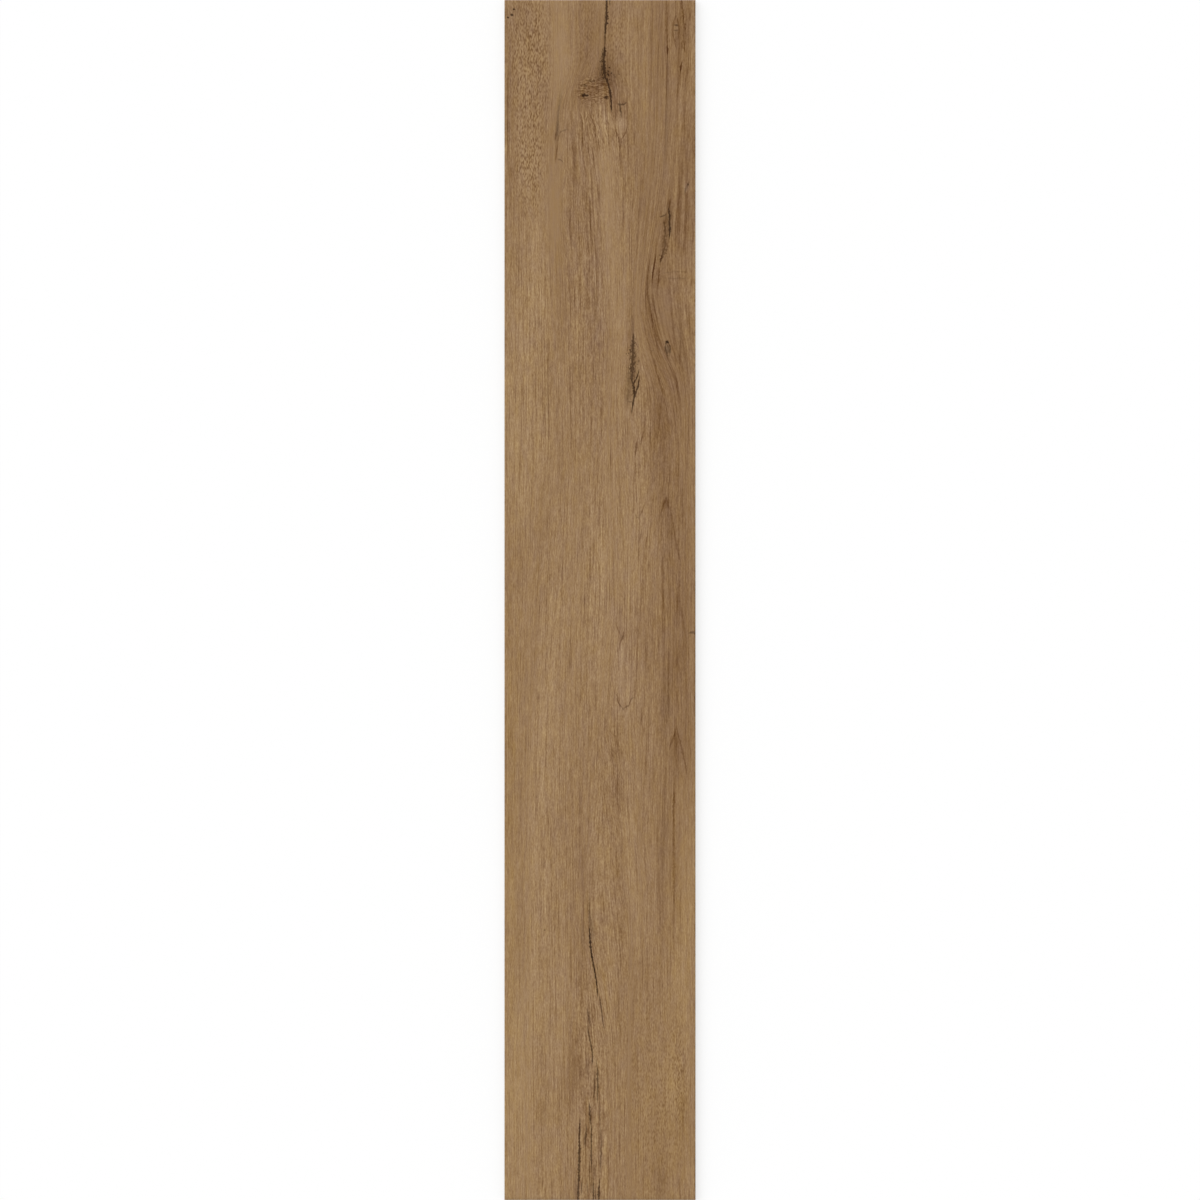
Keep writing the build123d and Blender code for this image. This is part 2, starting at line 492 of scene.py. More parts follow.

# %% [markdown]
# Single streaks.
# The eye picks out some streaks one by one: a dark pore line here, a pale ray there. Those
# are listed here. Each is a narrow oval along the grain, written like a band of tone.

# %% Streaks of the head half
HEAD_STREAKS = [
    (51.5, 50, 1.1, 70, -12, 0), (58, 60, 0.8, 60, -9, 0), (54.5, 90, 0.8, 60, -7, 0),
    (62.5, 70, 0.8, 70, -7, 0), (67.5, 95, 1.8, 40, -10, -1), (65, 160, 2.4, 45, -6, -2),
    (64.5, 221, 2.2, 5, -16, 0), (88.5, 40, 1.0, 50, -3, 0), (78.5, 70, 0.8, 50, -7, 0),
    (41, 40, 0.8, 50, -6, 0), (35.5, 50, 0.8, 40, 4, 0), (91.5, 60, 1.8, 60, 5, 1),
    (72, 95, 2.0, 40, 4, -1), (62, 60, 2.0, 60, 3, 0), (46, 60, 2.0, 60, 3, 1), (25, 30, 3.0, 40, 4, 0),
    (15, 25, 2.5, 30, 3, 0), (-51, 20, 0.9, 25, -6, 0), (-29, 35, 1.0, 40, -5, -1),
    (-26.3, 55, 0.8, 25, 4, 1), (-20, 40, 1.6, 40, -4, -1), (-12.5, 50, 1.5, 30, -5, -1),
    (-16, 20, 0.8, 25, 3, 0), (-43.8, 150, 0.9, 10, -18, 0), (-89.6, 70, 0.8, 35, -5, -5),
    (-92.5, 85, 1.2, 20, -6, 0), (-89, 172, 3.0, 8, -8, -1), (15, 91, 3.5, 7, 5, -2),
    (12, 74, 2.5, 5, 9, -2), (22, 124, 4.0, 9, 18, -5), (16, 108, 4.0, 9, -9, -1),
    (5, 118, 3.5, 12, 12, -3), (-20, 116, 0.9, 10, -12, 0), (-17.5, 137, 0.8, 14, -10, 0),
    (-10, 212, 0.9, 16, -12, 0), (0, 196, 0.8, 12, -10, 0), (-30.5, 228, 0.9, 25, -9, 0),
    (-35.5, 245, 1.4, 16, -9, -1), (-5, 245, 0.8, 12, -10, 0), (23, 218, 0.9, 22, -8, -1),
    (-18, 168, 2.2, 18, 6, -3), (-4, 175, 2.2, 15, 9, -3), (-1.5, 225, 1.6, 20, 5, -2),
    (-26, 160, 0.9, 25, -6, 0), (-22.5, 150, 0.8, 20, 5, 0), (86, 188, 2.6, 5.0, 20, -8),
    (-56, 335, 0.8, 12, -13, -2), (-76.7, 311, 1.0, 16, -9, 0), (-84.5, 284, 0.9, 18, -6, 0),
    (-82.6, 362, 0.9, 12, -8, 0), (-31, 275, 1.0, 26, -9, -1), (-35, 318, 1.1, 16, -9, -1),
    (-14, 280, 1.0, 22, -11, -1), (-8.5, 275, 0.9, 16, -10, -1), (-5, 296, 0.9, 10, -10, -1),
    (-2, 275, 0.9, 22, -8, -1), (-9.5, 334, 1.0, 15, -9, -1), (-5, 278, 0.9, 7, 10, -2),
    (-1.5, 309, 0.9, 6, 14, -2), (-7.7, 337, 0.9, 10, 8, -2), (22, 271, 0.9, 12, -8, 0),
    (7, 305, 0.9, 16, -8, 0), (33, 328, 1.6, 14, -10, -2), (67.6, 348.5, 1.3, 3, 22, -4),
    (-64, 400, 0.8, 25, -9, 0), (-52, 395, 1.2, 18, -9, -2), (-29, 388, 1.0, 12, -9, 0),
    (-30, 420, 0.9, 12, -6, 0), (-24.5, 420, 0.9, 10, -7, 0), (-83.5, 425, 1.0, 50, 7, 1),
    (-79.5, 440, 0.9, 12, -7, 0), (46.8, 396, 1.0, 10, -10, -1), (13, 415, 0.8, 14, -8, 0),
    (-38, 460, 1.0, 30, -6, 0), (-5, 450, 1.5, 50, -5, -2), (22.8, 440, 1.0, 12, -9, 0),
    (11, 460, 1.0, 7, -10, -1), (16.5, 474, 0.8, 8, -7, 0), (20.3, 492, 1.0, 14, -7, 0),
    (34.6, 444, 2.2, 7, -9, -2), (36, 465, 5.0, 30, 3, -2), (-1, 512, 0.9, 14, -8, -1),
    (-15, 520, 0.8, 18, -6, 0), (-20, 543, 1.0, 9, -8, 0), (-53, 548, 1.5, 12, -8, -1),
    (-82, 583, 3.0, 9, -8, -1), (-57, 596, 2.4, 7, -7, -1), (-38, 570, 1.6, 14, -7, -1),
    (39.3, 545, 1.0, 14, -8, 0), (8, 547, 0.8, 6, -9, 0), (70, 535, 4.0, 20, -4, -2),
    (65.5, 503, 2.4, 7, -24, 0), (66.8, 519, 5.0, 17, -8, -1),
]
STREAK_POWER = 2

add_ovals(HEAD_STREAKS, STREAK_POWER)
print(f"{len(HEAD_STREAKS)} streaks in the head half")

# %% Streaks of the foot half
FOOT_STREAKS = [
    (76.2, 741, 3.2, 9, -14, 0), (74, 848, 1.3, 50, 0, 4), (-41, 618, 0.8, 6, -8, 0),
    (-60, 605, 1.4, 12, -6, -1), (5, 610, 1.2, 26, -9, -1), (-13, 620, 0.8, 10, -5, 0),
    (13, 610, 3.5, 10, 4, -3), (-19, 665, 1.0, 20, -6, 0), (-13.3, 690, 0.9, 18, -6, 0),
    (-42.5, 657, 0.9, 12, -7, 0), (37, 650, 1.0, 20, -8, 0), (46, 652, 1.0, 18, -8, 0),
    (36, 680, 0.9, 14, -7, 0), (6, 729, 0.9, 14, -10, 0), (16.8, 744, 1.1, 12, -8, 0),
    (41.3, 718, 1.1, 10, -8, 0), (25, 655, 0.8, 22, -7, 0), (19.5, 650, 0.8, 20, -6, -1),
    (22.5, 637, 2.6, 4.5, -14, -1), (68.5, 665, 1.4, 18, -5, -1), (63, 632, 1.3, 14, -12, -1),
    (62.8, 680, 1.1, 40, -6, -1), (76.5, 661, 1.3, 10, -12, 0), (76.5, 697, 1.3, 9, -12, 0),
    (67, 702, 4.5, 26, -6, -2), (94.2, 660, 0.9, 60, -9, 0), (-64, 740, 0.8, 20, 7, 0),
    (-37, 710, 0.9, 6, -8, 0), (1.5, 755, 0.9, 8, -8, -1), (-3.5, 722, 0.8, 8, -7, 0),
    (76.6, 757, 6.5, 18, -9, -1), (-13, 768, 1.1, 22, -9, -1), (12.8, 757, 1.5, 8, -12, -2),
    (-6.3, 770, 0.9, 7, -9, 0), (49.3, 782, 1.2, 18, -9, -1), (44.5, 817, 2.0, 12, -9, -1),
    (41.2, 834, 0.9, 11, -10, 0), (-19, 808, 1.7, 13, -10, -2), (-20, 838, 2.6, 14, -6, -1),
    (-17, 868, 3.4, 26, -6, -2), (-20.6, 868, 0.8, 18, -6, 0), (-38.8, 817, 0.9, 8, -8, -1),
    (-57, 846, 1.1, 10, -9, -1), (-55.5, 862, 1.2, 6, -8, -1), (-34, 836, 1.0, 18, -6, -1),
    (35.6, 850, 1.2, 22, -6, -3), (34, 828, 2.5, 12, 5, 0), (11.3, 868, 0.9, 13, -8, 0),
    (15.5, 791, 0.8, 6, -9, 0), (6.7, 787, 0.9, 9, -8, 0), (2, 790, 0.8, 8, -6, 0),
    (17.6, 809, 0.9, 8, -8, -1), (18, 832, 0.9, 10, -8, 0), (11, 838, 0.9, 10, -7, -1),
    (8.5, 818, 0.8, 6, -8, 0), (-4.5, 832, 1.6, 22, 5, 0), (-1.5, 835, 0.9, 12, -6, 0),
    (64.8, 832, 0.9, 20, -6, 0), (61, 845, 1.6, 16, -8, -1), (60, 880, 2.5, 40, -5, -1),
    (-60, 886, 1.0, 14, -7, 0), (13.8, 888, 1.0, 10, -8, -1), (24, 903, 1.0, 12, -8, -1),
    (25, 933, 1.0, 8, -8, -1), (19.5, 868, 1.4, 10, -7, -2), (-11.8, 957, 1.0, 9, -9, -2),
    (-13.5, 910, 1.4, 14, 4, 3), (3.4, 978, 1.3, 9, -4, 4), (6, 994, 1.4, 12, 0, 4),
    (-25.5, 940, 1.1, 22, -7, -1), (-48.7, 955, 0.9, 30, -5, 0), (57.5, 920, 0.9, 45, -5, 0),
    (62, 950, 3.5, 60, -5, -1), (64, 917, 0.9, 14, -5, 0), (33, 1005, 1.0, 35, -7, 0),
    (40, 1010, 1.0, 25, -5, -1), (47.5, 1010, 1.0, 25, -5, -1), (38.3, 1010, 0.8, 25, 6, -1),
    (44.5, 1010, 0.8, 25, 5, -1), (3, 945, 1.6, 8, -7, -2), (1.8, 1012, 1.0, 14, -10, -2),
    (6.6, 1053, 1.0, 8, -11, -1), (7.5, 1075, 0.9, 12, -8, -1), (-11, 1017, 1.3, 9, -10, -2),
    (-12.5, 1065, 1.5, 8, -8, -2), (-5, 1088, 1.4, 13, -7, -2), (-15, 1104, 0.9, 9, -10, -1),
    (-13, 1106, 1.2, 12, 5, 5), (-7.3, 1115, 1.2, 9, -10, -2), (-14.5, 1136, 1.7, 8, -12, -1),
    (-0.5, 1115, 0.8, 18, -9, -1), (1.3, 1140, 1.3, 13, -11, -2), (0.3, 1168, 1.4, 12, -8, -2),
    (-6, 1172, 1.6, 10, -8, -2), (-24, 1188, 1.4, 14, -10, -2), (-18.3, 1135, 0.9, 15, 6, 0),
    (6, 1168, 2.6, 30, 2, 3), (-39.3, 1160, 1.1, 45, -13, -1), (-10, 1085, 1.0, 15, -6, -1),
    (-28.5, 1035, 0.8, 10, -7, -1), (79.5, 1045, 1.4, 14, -9, -1), (82, 1068, 3.0, 14, -5, 0),
    (73, 1065, 0.9, 15, -6, -1), (84, 1108, 4.5, 22, -6, 2), (75, 1122, 0.9, 10, -7, 0),
    (60, 1182, 6.0, 20, -7, -1), (40, 1100, 0.9, 20, -5, 0), (-51, 1027, 1.4, 8, -8, 0),
    (-58, 1050, 1.2, 25, -5, 0), (-62.5, 1115, 0.9, 14, -7, 0),
]

add_ovals(FOOT_STREAKS, STREAK_POWER)
print(f"{len(FOOT_STREAKS)} streaks in the foot half")

# %% [markdown]
# Grey smears.
# Beside a crack the wood is stained grey, without a clear edge. A smear is an oval like a streak, but it is
# given as a share of the crack's ink and not as a tone, because the stain takes the colour of the ink.

# %% Grey smears
SMEARS = [
    # (across, down, half width, half length, share of ink)
    (-41.3, 108, 1.6, 18, 0.30), (-42.8, 130, 1.8, 11, 0.38), (66.5, 120, 1.8, 40, 0.14),
    (2.5, 66, 3.2, 14, 0.25), (4, 78, 5.0, 7, 0.25), (69.8, 222, 2.4, 14, 0.34),
    (66.6, 216, 2.6, 10, 0.14), (64, 243, 3.0, 14, 0.20), (49.5, 295, 3.0, 34, 0.06),
    (-4.5, 310, 3.0, 30, 0.05), (33.5, 360, 3.4, 24, 0.27), (32.6, 326, 1.8, 18, 0.10),
    (29, 379, 3.2, 10, 0.26), (27.8, 396, 2.8, 9, 0.27), (82, 345, 4.0, 26, 0.10),
    (70, 535, 3.6, 22, 0.04), (76, 758, 6.5, 18, 0.02), (67, 703, 4.5, 26, 0.10),
    (-8, 929, 1.9, 14, 0.34), (-17.3, 932, 1.7, 14, 0.14), (-11, 1018, 1.6, 10, 0.22),
    (-12.5, 1065, 1.7, 9, 0.12), (-5, 1088, 1.6, 14, 0.10), (-8, 1114, 1.8, 12, 0.12),
    (-5.6, 1170, 1.6, 7, 0.20), (-24, 1188, 1.5, 16, 0.16), (1, 1142, 1.5, 14, 0.08),
    (60, 1184, 6.5, 20, 0.07), (-53, 396, 1.6, 18, 0.10), (64, 850, 4.5, 40, 0.06),
]

printed["smear"] = np.zeros_like(across)
for *oval, share in SMEARS:
    printed["smear"] += share * oval_cover(*oval, STREAK_POWER)
print(f"{len(SMEARS)} grey smears, up to a share of {printed['smear'].max():.2f}")

# %% [markdown]
# Ring lines and strokes.
# Where the growth rings come to the surface they draw long lines that bend round the burl, rise to pointed
# arches and close round a pin knot. Below the big knot the torn fibres lie in short strokes. Each line is a
# row of (across, down) points with one tone and half width. Painted on the points of the sheet, a thin
# slanting line would break up into steps. So each point carries its distance across to the line, the line's
# half width there and its tone, packed as one vector, and lines that are not beside each other share such a
# lane.

# %% Ring lines
RING_LINES = [
    # Round the pin knot
    (-24, 1.1, [(76, 15), (73.6, 22), (72.8, 28), (73, 34), (74.4, 41), (76, 49)]),
    (-24, 1.1, [(76, 15), (78.2, 22), (78.9, 28), (78.6, 34), (77.6, 41)]),
    (-18, 1.2, [(76, 30), (76, 38), (76, 48)]),
    (-24, 1.1, [(66.4, -8), (66.6, 12), (66.4, 28), (67, 40), (67.4, 50)]),
    (-46, 1.2, [(66.6, 45), (67.4, 48.5), (67.9, 52), (67.5, 55.5)]),
    (-14, 1.2, [(67.4, 54), (67.2, 66), (67, 78), (66.6, 88), (66.4, 100)]),
    (-28, 1.2, [(81.4, -8), (81.8, 4), (82.8, 10), (83.6, 15), (83.2, 22)]),
    (-25, 1.4, [(83, 14), (83.6, 23), (84.4, 29), (83.4, 35), (83.8, 40), (84.6, 47), (85, 55)]),
    (-28, 1.1, [(81.6, 41), (82.1, 45.5), (81.8, 50)]),
    (-46, 1.1, [(82.2, 60), (81.3, 65), (80.7, 69), (80.4, 73)]),
    (-12, 1.2, [(80.6, 68), (80.2, 77), (78.6, 84), (77.4, 94), (77, 110)]),
    # The grey tear beside the big knot
    (-32, 1.1, [(15, 127), (16, 132), (17.6, 136), (19.4, 140)]),
    (-28, 1.1, [(27.6, 126), (26.2, 132), (24, 135.5), (21.4, 140)]),
    (-20, 2.0, [(19.8, 135), (20, 139), (20.2, 142), (20, 150)]),
    (-14, 1.0, [(20.2, 142), (20, 150), (20.2, 158), (20.6, 168)]),
    (-22, 1.0, [(15.4, 115), (16, 119), (16.3, 124)]),
    # Strokes that fan out below the knot
    (-26, 1.0, [(-19.6, 112), (-18.6, 118), (-17.6, 124), (-17, 130)]),
    (-24, 1.0, [(-10.2, 113), (-8.6, 118), (-6.6, 123), (-5, 128), (-4.4, 132)]),
    (-28, 1.1, [(-5.6, 129), (-4.4, 134), (-4, 138)]),
    (-22, 1.0, [(-15.8, 111), (-15.4, 116), (-15, 120)]),
    (-20, 0.9, [(-10.2, 112), (-12.4, 116.5), (-14.2, 121)]),
    (-22, 0.9, [(-12.8, 123), (-12.4, 130), (-12.2, 137)]),
    (-22, 1.0, [(-17.4, 131), (-17.6, 138), (-17.8, 144), (-18, 151)]),
    (-18, 1.0, [(2.4, 102), (2.6, 108), (2.4, 114)]),
    (-16, 0.9, [(7, 115), (8, 124), (8.6, 134), (8.8, 142), (9.6, 151)]),
    (-20, 0.9, [(-2.8, 135), (-1.6, 142), (-0.2, 148)]),
    (-18, 1.0, [(3.2, 137), (3.8, 142), (4, 147)]),
    (-20, 1.0, [(-12.2, 143), (-11.6, 149), (-11.4, 154)]),
    (-20, 0.9, [(-7.8, 146), (-7.4, 151), (-6.8, 156), (-7, 163)]),
    (-16, 1.0, [(-27, 137), (-27.4, 146), (-27.2, 153)]),
    (-18, 1.0, [(-16.2, 159), (-15.4, 167), (-14.4, 174), (-14, 182)]),
    (20, 1.0, [(-19, 111), (-17.4, 118), (-16, 125), (-15.4, 131)]),
    (18, 1.0, [(-14.4, 111), (-13.8, 116), (-14.8, 122)]),
    (16, 1.2, [(0, 102), (0.4, 108), (0, 114)]),
    (14, 1.0, [(4.4, 117), (5, 126), (5.6, 134), (6, 143)]),
    (14, 1.2, [(10.4, 113), (11, 120), (11.4, 127)]),
    (14, 0.9, [(-8.8, 123), (-7.6, 130), (-6.4, 137)]),
    (16, 0.9, [(-9.6, 154), (-8.6, 160), (-8, 166)]),
    # Longer strokes further down
    (-20, 0.9, [(-6.4, 160), (-4.6, 172), (-2.6, 185), (-1.2, 197), (-0.8, 206)]),
    (-18, 0.9, [(-14.4, 184), (-13.6, 190), (-13.2, 197), (-12.8, 206)]),
    (-24, 1.0, [(-9.8, 200), (-9.6, 210), (-9.2, 222), (-8.8, 234)]),
    (-18, 0.9, [(-8.8, 180), (-8.4, 188), (-7.8, 197)]),
    (-20, 0.9, [(-3, 206), (-2.2, 216), (-1.4, 226), (-0.6, 236)]),
    (-20, 0.9, [(-8.8, 236), (-7.6, 243), (-6.2, 252)]),
    (-12, 0.9, [(-28.8, 188), (-29.2, 200), (-29.6, 214), (-30.2, 226), (-30.4, 240)]),
    (-14, 0.9, [(-23.4, 158), (-23.8, 170), (-24, 180)]),
    (-14, 0.9, [(26, 176), (25.6, 188), (25, 200)]),
    (-12, 0.9, [(23.6, 212), (23.4, 224), (22.8, 234)]),
    (14, 0.9, [(-3.8, 168), (-3.2, 178), (-2.2, 190)]),
    (12, 0.9, [(-11, 168), (-10.4, 180), (-9.9, 190)]),
    (12, 0.9, [(-5, 210), (-4.2, 222), (-3.4, 232)]),
    (10, 1.0, [(15.4, 156), (15.6, 163), (15.8, 170)]),
    # The tear at the left
    (-24, 0.9, [(-42, 143), (-43.2, 150), (-44.2, 158), (-44.6, 161)]),
    (-22, 0.9, [(-39.6, 131), (-41.2, 137), (-42.4, 143)]),
    (-28, 1.2, [(-43.6, 131), (-44.4, 136), (-45, 142)]),
    # Round the gash
    (-14, 1.0, [(62.2, 204), (61.2, 210), (60.4, 216)]),
    (-38, 1.1, [(70.2, 197), (69.8, 203), (68.8, 209), (68.4, 214)]),
    (-14, 2.4, [(64, 218), (65, 232), (64.6, 245), (62.8, 254), (60.4, 262)]),
    (-26, 1.2, [(62.4, 254), (61.2, 258), (60, 263)]),
    (-38, 1.2, [(59.6, 266), (59, 274), (58.4, 281), (57.5, 290)]),
    (-34, 1.0, [(56.6, 252), (55, 262), (53.2, 271), (51.8, 283)]),
    (-9, 1.0, [(80, 222), (79.6, 232), (79, 242), (78.4, 252)]),
    (-9, 1.0, [(84.8, 222), (84.4, 232), (84, 240)]),
    (-10, 1.0, [(83.6, 243), (83.2, 250), (82.8, 258)]),
    # Round the burl
    (-18, 1.1, [(50.4, 256), (48.4, 268), (47.3, 284), (47.8, 295), (49, 303), (50.6, 312), (52, 321),
                (53, 330)]),
    (-17, 1.4, [(51, 312), (52.4, 321), (53.8, 328), (55.8, 338), (57.4, 348), (60, 358)]),
    (-14, 1.0, [(52, 298), (55, 311), (58, 321)]),
    (-14, 1.1, [(43, 318), (45.5, 332), (49.6, 348), (53, 358), (55, 364), (57, 375), (60, 385),
                (62.6, 396)]),
    (-8, 1.1, [(50.6, 352), (53.6, 360.5), (55.6, 367), (57, 374)]),
    (-20, 1.1, [(57.6, 372), (59.4, 379), (60.6, 385)]),
    (-27, 1.1, [(60.8, 384), (62.2, 390), (62.8, 397)]),
    (-14, 1.2, [(62, 394), (60.5, 405), (59.5, 420), (58, 440)]),
    (-10, 1.1, [(63, 346), (66.5, 355), (70.4, 364), (74, 371), (76.4, 380), (77.6, 390), (78.6, 402)]),
    (-8, 1.2, [(74.6, 370), (76.2, 378), (77, 384), (77.4, 391)]),
    (-12, 1.3, [(70.5, 290), (72, 310), (73.4, 330), (74.2, 345), (75, 358), (75.8, 370)]),
    (-14, 1.3, [(80.8, 336), (80.4, 348), (79.8, 360), (79.8, 376)]),
    (14, 1.4, [(58.6, 343), (63, 353), (67, 361), (71.4, 368)]),
    (-8, 1.1, [(73, 400), (74, 425), (76, 444)]),
    (-10, 1.2, [(75, 456), (77, 476), (77.5, 499)]),
    # Small marks in the middle
    (-34, 1.1, [(37.4, 440), (36.6, 445), (35.8, 450), (35.5, 456)]),
    (-20, 0.9, [(35.7, 450), (35.5, 462), (35.6, 474), (35.3, 485)]),
    (-24, 0.9, [(43.7, 431), (42.4, 436), (41.2, 441), (40.4, 449)]),
    (-20, 0.9, [(36.3, 484), (36.7, 492), (36.6, 505)]),
    (-25, 1.1, [(44.8, 503), (43.6, 508), (41.8, 511.5), (40.4, 516)]),
    (-22, 1.0, [(41.6, 530), (40.6, 536), (39.6, 543)]),
    (-22, 1.0, [(47.6, 534), (46.4, 540), (45.4, 546)]),
    (-22, 1.1, [(16.4, 624), (18, 630), (20.4, 635)]),
    (-24, 1.2, [(24.2, 630), (23.2, 636), (21, 641), (19.6, 645)]),
    (-15, 0.9, [(37.6, 634), (37.2, 650), (36.4, 668), (36, 684)]),
    (-13, 0.9, [(47.6, 640), (46.8, 655), (45.4, 672)]),
    (-18, 1.0, [(42, 712), (41.4, 719), (40.6, 726)]),
    (-17, 1.0, [(16.2, 732), (16.8, 742), (18.2, 752), (20, 760)]),
    (-13, 1.0, [(10.6, 738), (11.4, 748), (12.6, 758)]),
    (-15, 0.9, [(5.2, 714), (5.8, 724), (6.8, 736)]),
    (-32, 1.2, [(16.6, 692), (17.4, 697), (18.2, 702), (20.4, 707)]),
    (-32, 1.5, [(25.6, 702), (26.3, 706), (27, 711)]),
    (-20, 1.1, [(33.2, 695), (31.4, 699), (29.6, 703), (28, 708)]),
    # The first pointed arch and the lines below it
    (-20, 1.2, [(66, 495), (65.2, 501), (63.2, 506), (61.3, 511), (60, 517)]),
    (-13, 1.2, [(66.2, 496), (67.2, 502), (69, 508), (70.6, 514), (72.6, 523), (74.5, 533), (76.5, 545),
                (79, 556), (81.5, 567)]),
    (-8, 1.2, [(62.8, 548), (62.3, 580), (62.5, 610), (63, 644)]),
    (-12, 1.5, [(79.5, 568), (78.7, 585), (77.8, 600), (76.3, 614), (77, 630)]),
    (-12, 1.5, [(79.5, 599), (81.5, 614), (83.7, 628), (86, 640)]),
    (-10, 1.2, [(76.5, 648), (79, 668), (81.5, 684)]),
    (-9, 1.2, [(83, 653), (85, 672), (86, 686)]),
    (-10, 1.2, [(47.5, 531), (45.5, 553), (43.5, 575), (42, 592), (40.5, 607), (39, 622), (38, 642)]),
    (-8, 1.0, [(9.5, 658), (11, 674), (13.5, 688), (16.5, 701)]),
    # The second arch and the dark streak under it
    (-22, 1.2, [(76.3, 726), (75.2, 733), (72.8, 739), (70.5, 745), (68.4, 752)]),
    (-20, 1.2, [(76.5, 727), (77.8, 734), (79.6, 740), (81.5, 747), (83.5, 756), (85.8, 766),
                (87.6, 778)]),
    (-22, 1.3, [(74.3, 780), (74, 800), (73.5, 812), (74, 850), (74.2, 890), (74, 912)]),
]
LANE_GAP = 8.0
THIN = 0.2


def with_widths(points):
    """A line's points as (across, down, half width), thin where no half width is given."""
    return [(*point, THIN)[:3] for point in points]


def tapered(half_width, points):
    """A line's points as (across, down, half width), thin at both ends."""
    between = [(*point, half_width) for point in points[1:-1]]
    return with_widths([points[0], *between, points[-1]])


def shared_lanes(marks):
    """Sort marks into as few lanes as possible, so that no two in a lane lie beside each other."""
    lanes = []
    for mark in sorted(marks, key=lambda mark: mark[1][0][1]):
        top = mark[1][0][1]
        free = [lane for lane in lanes if lane[-1][1][-1][1] + LANE_GAP < top]
        if free:
            free[0].append(mark)
        else:
            lanes.append([mark])
    return lanes


def lane_vectors(lane):
    """For each point of the sheet: distance from the lane's mark, its half width, its strength."""
    vectors = np.zeros((*across.shape, 3))
    vectors[..., 1] = 1.0
    for strength, points in lane:
        places, downs, widths = (np.array(values, float) for values in zip(*points))
        rows = (down_line >= downs[0] - LANE_GAP / 2) & (down_line <= downs[-1] + LANE_GAP / 2)
        here = down_line[rows]
        vectors[rows, :, 0] = across_line - np.interp(here, downs, places)[:, None]
        vectors[rows, :, 1] = np.interp(here, downs, widths)[:, None]
        inside = (here >= downs[0]) & (here <= downs[-1])
        vectors[rows, :, 2] = (strength * inside)[:, None]
    return vectors


tapered_lines = [(tone, tapered(half_width, points)) for tone, half_width, points in RING_LINES]
line_lanes = [lane_vectors(lane) for lane in shared_lanes(tapered_lines)]
print(f"{len(RING_LINES)} ring lines and strokes in {len(line_lanes)} lanes")

# %% [markdown]
# Cracks.
# Drying cracks are nearly black, thin and ragged. They could be curves with a material of their own, but they
# are ink, with no edge to catch the light. So each is a darkness and a row of (across, down, half width)
# points, and they are carried in lanes as well. An end without a half width is thin.

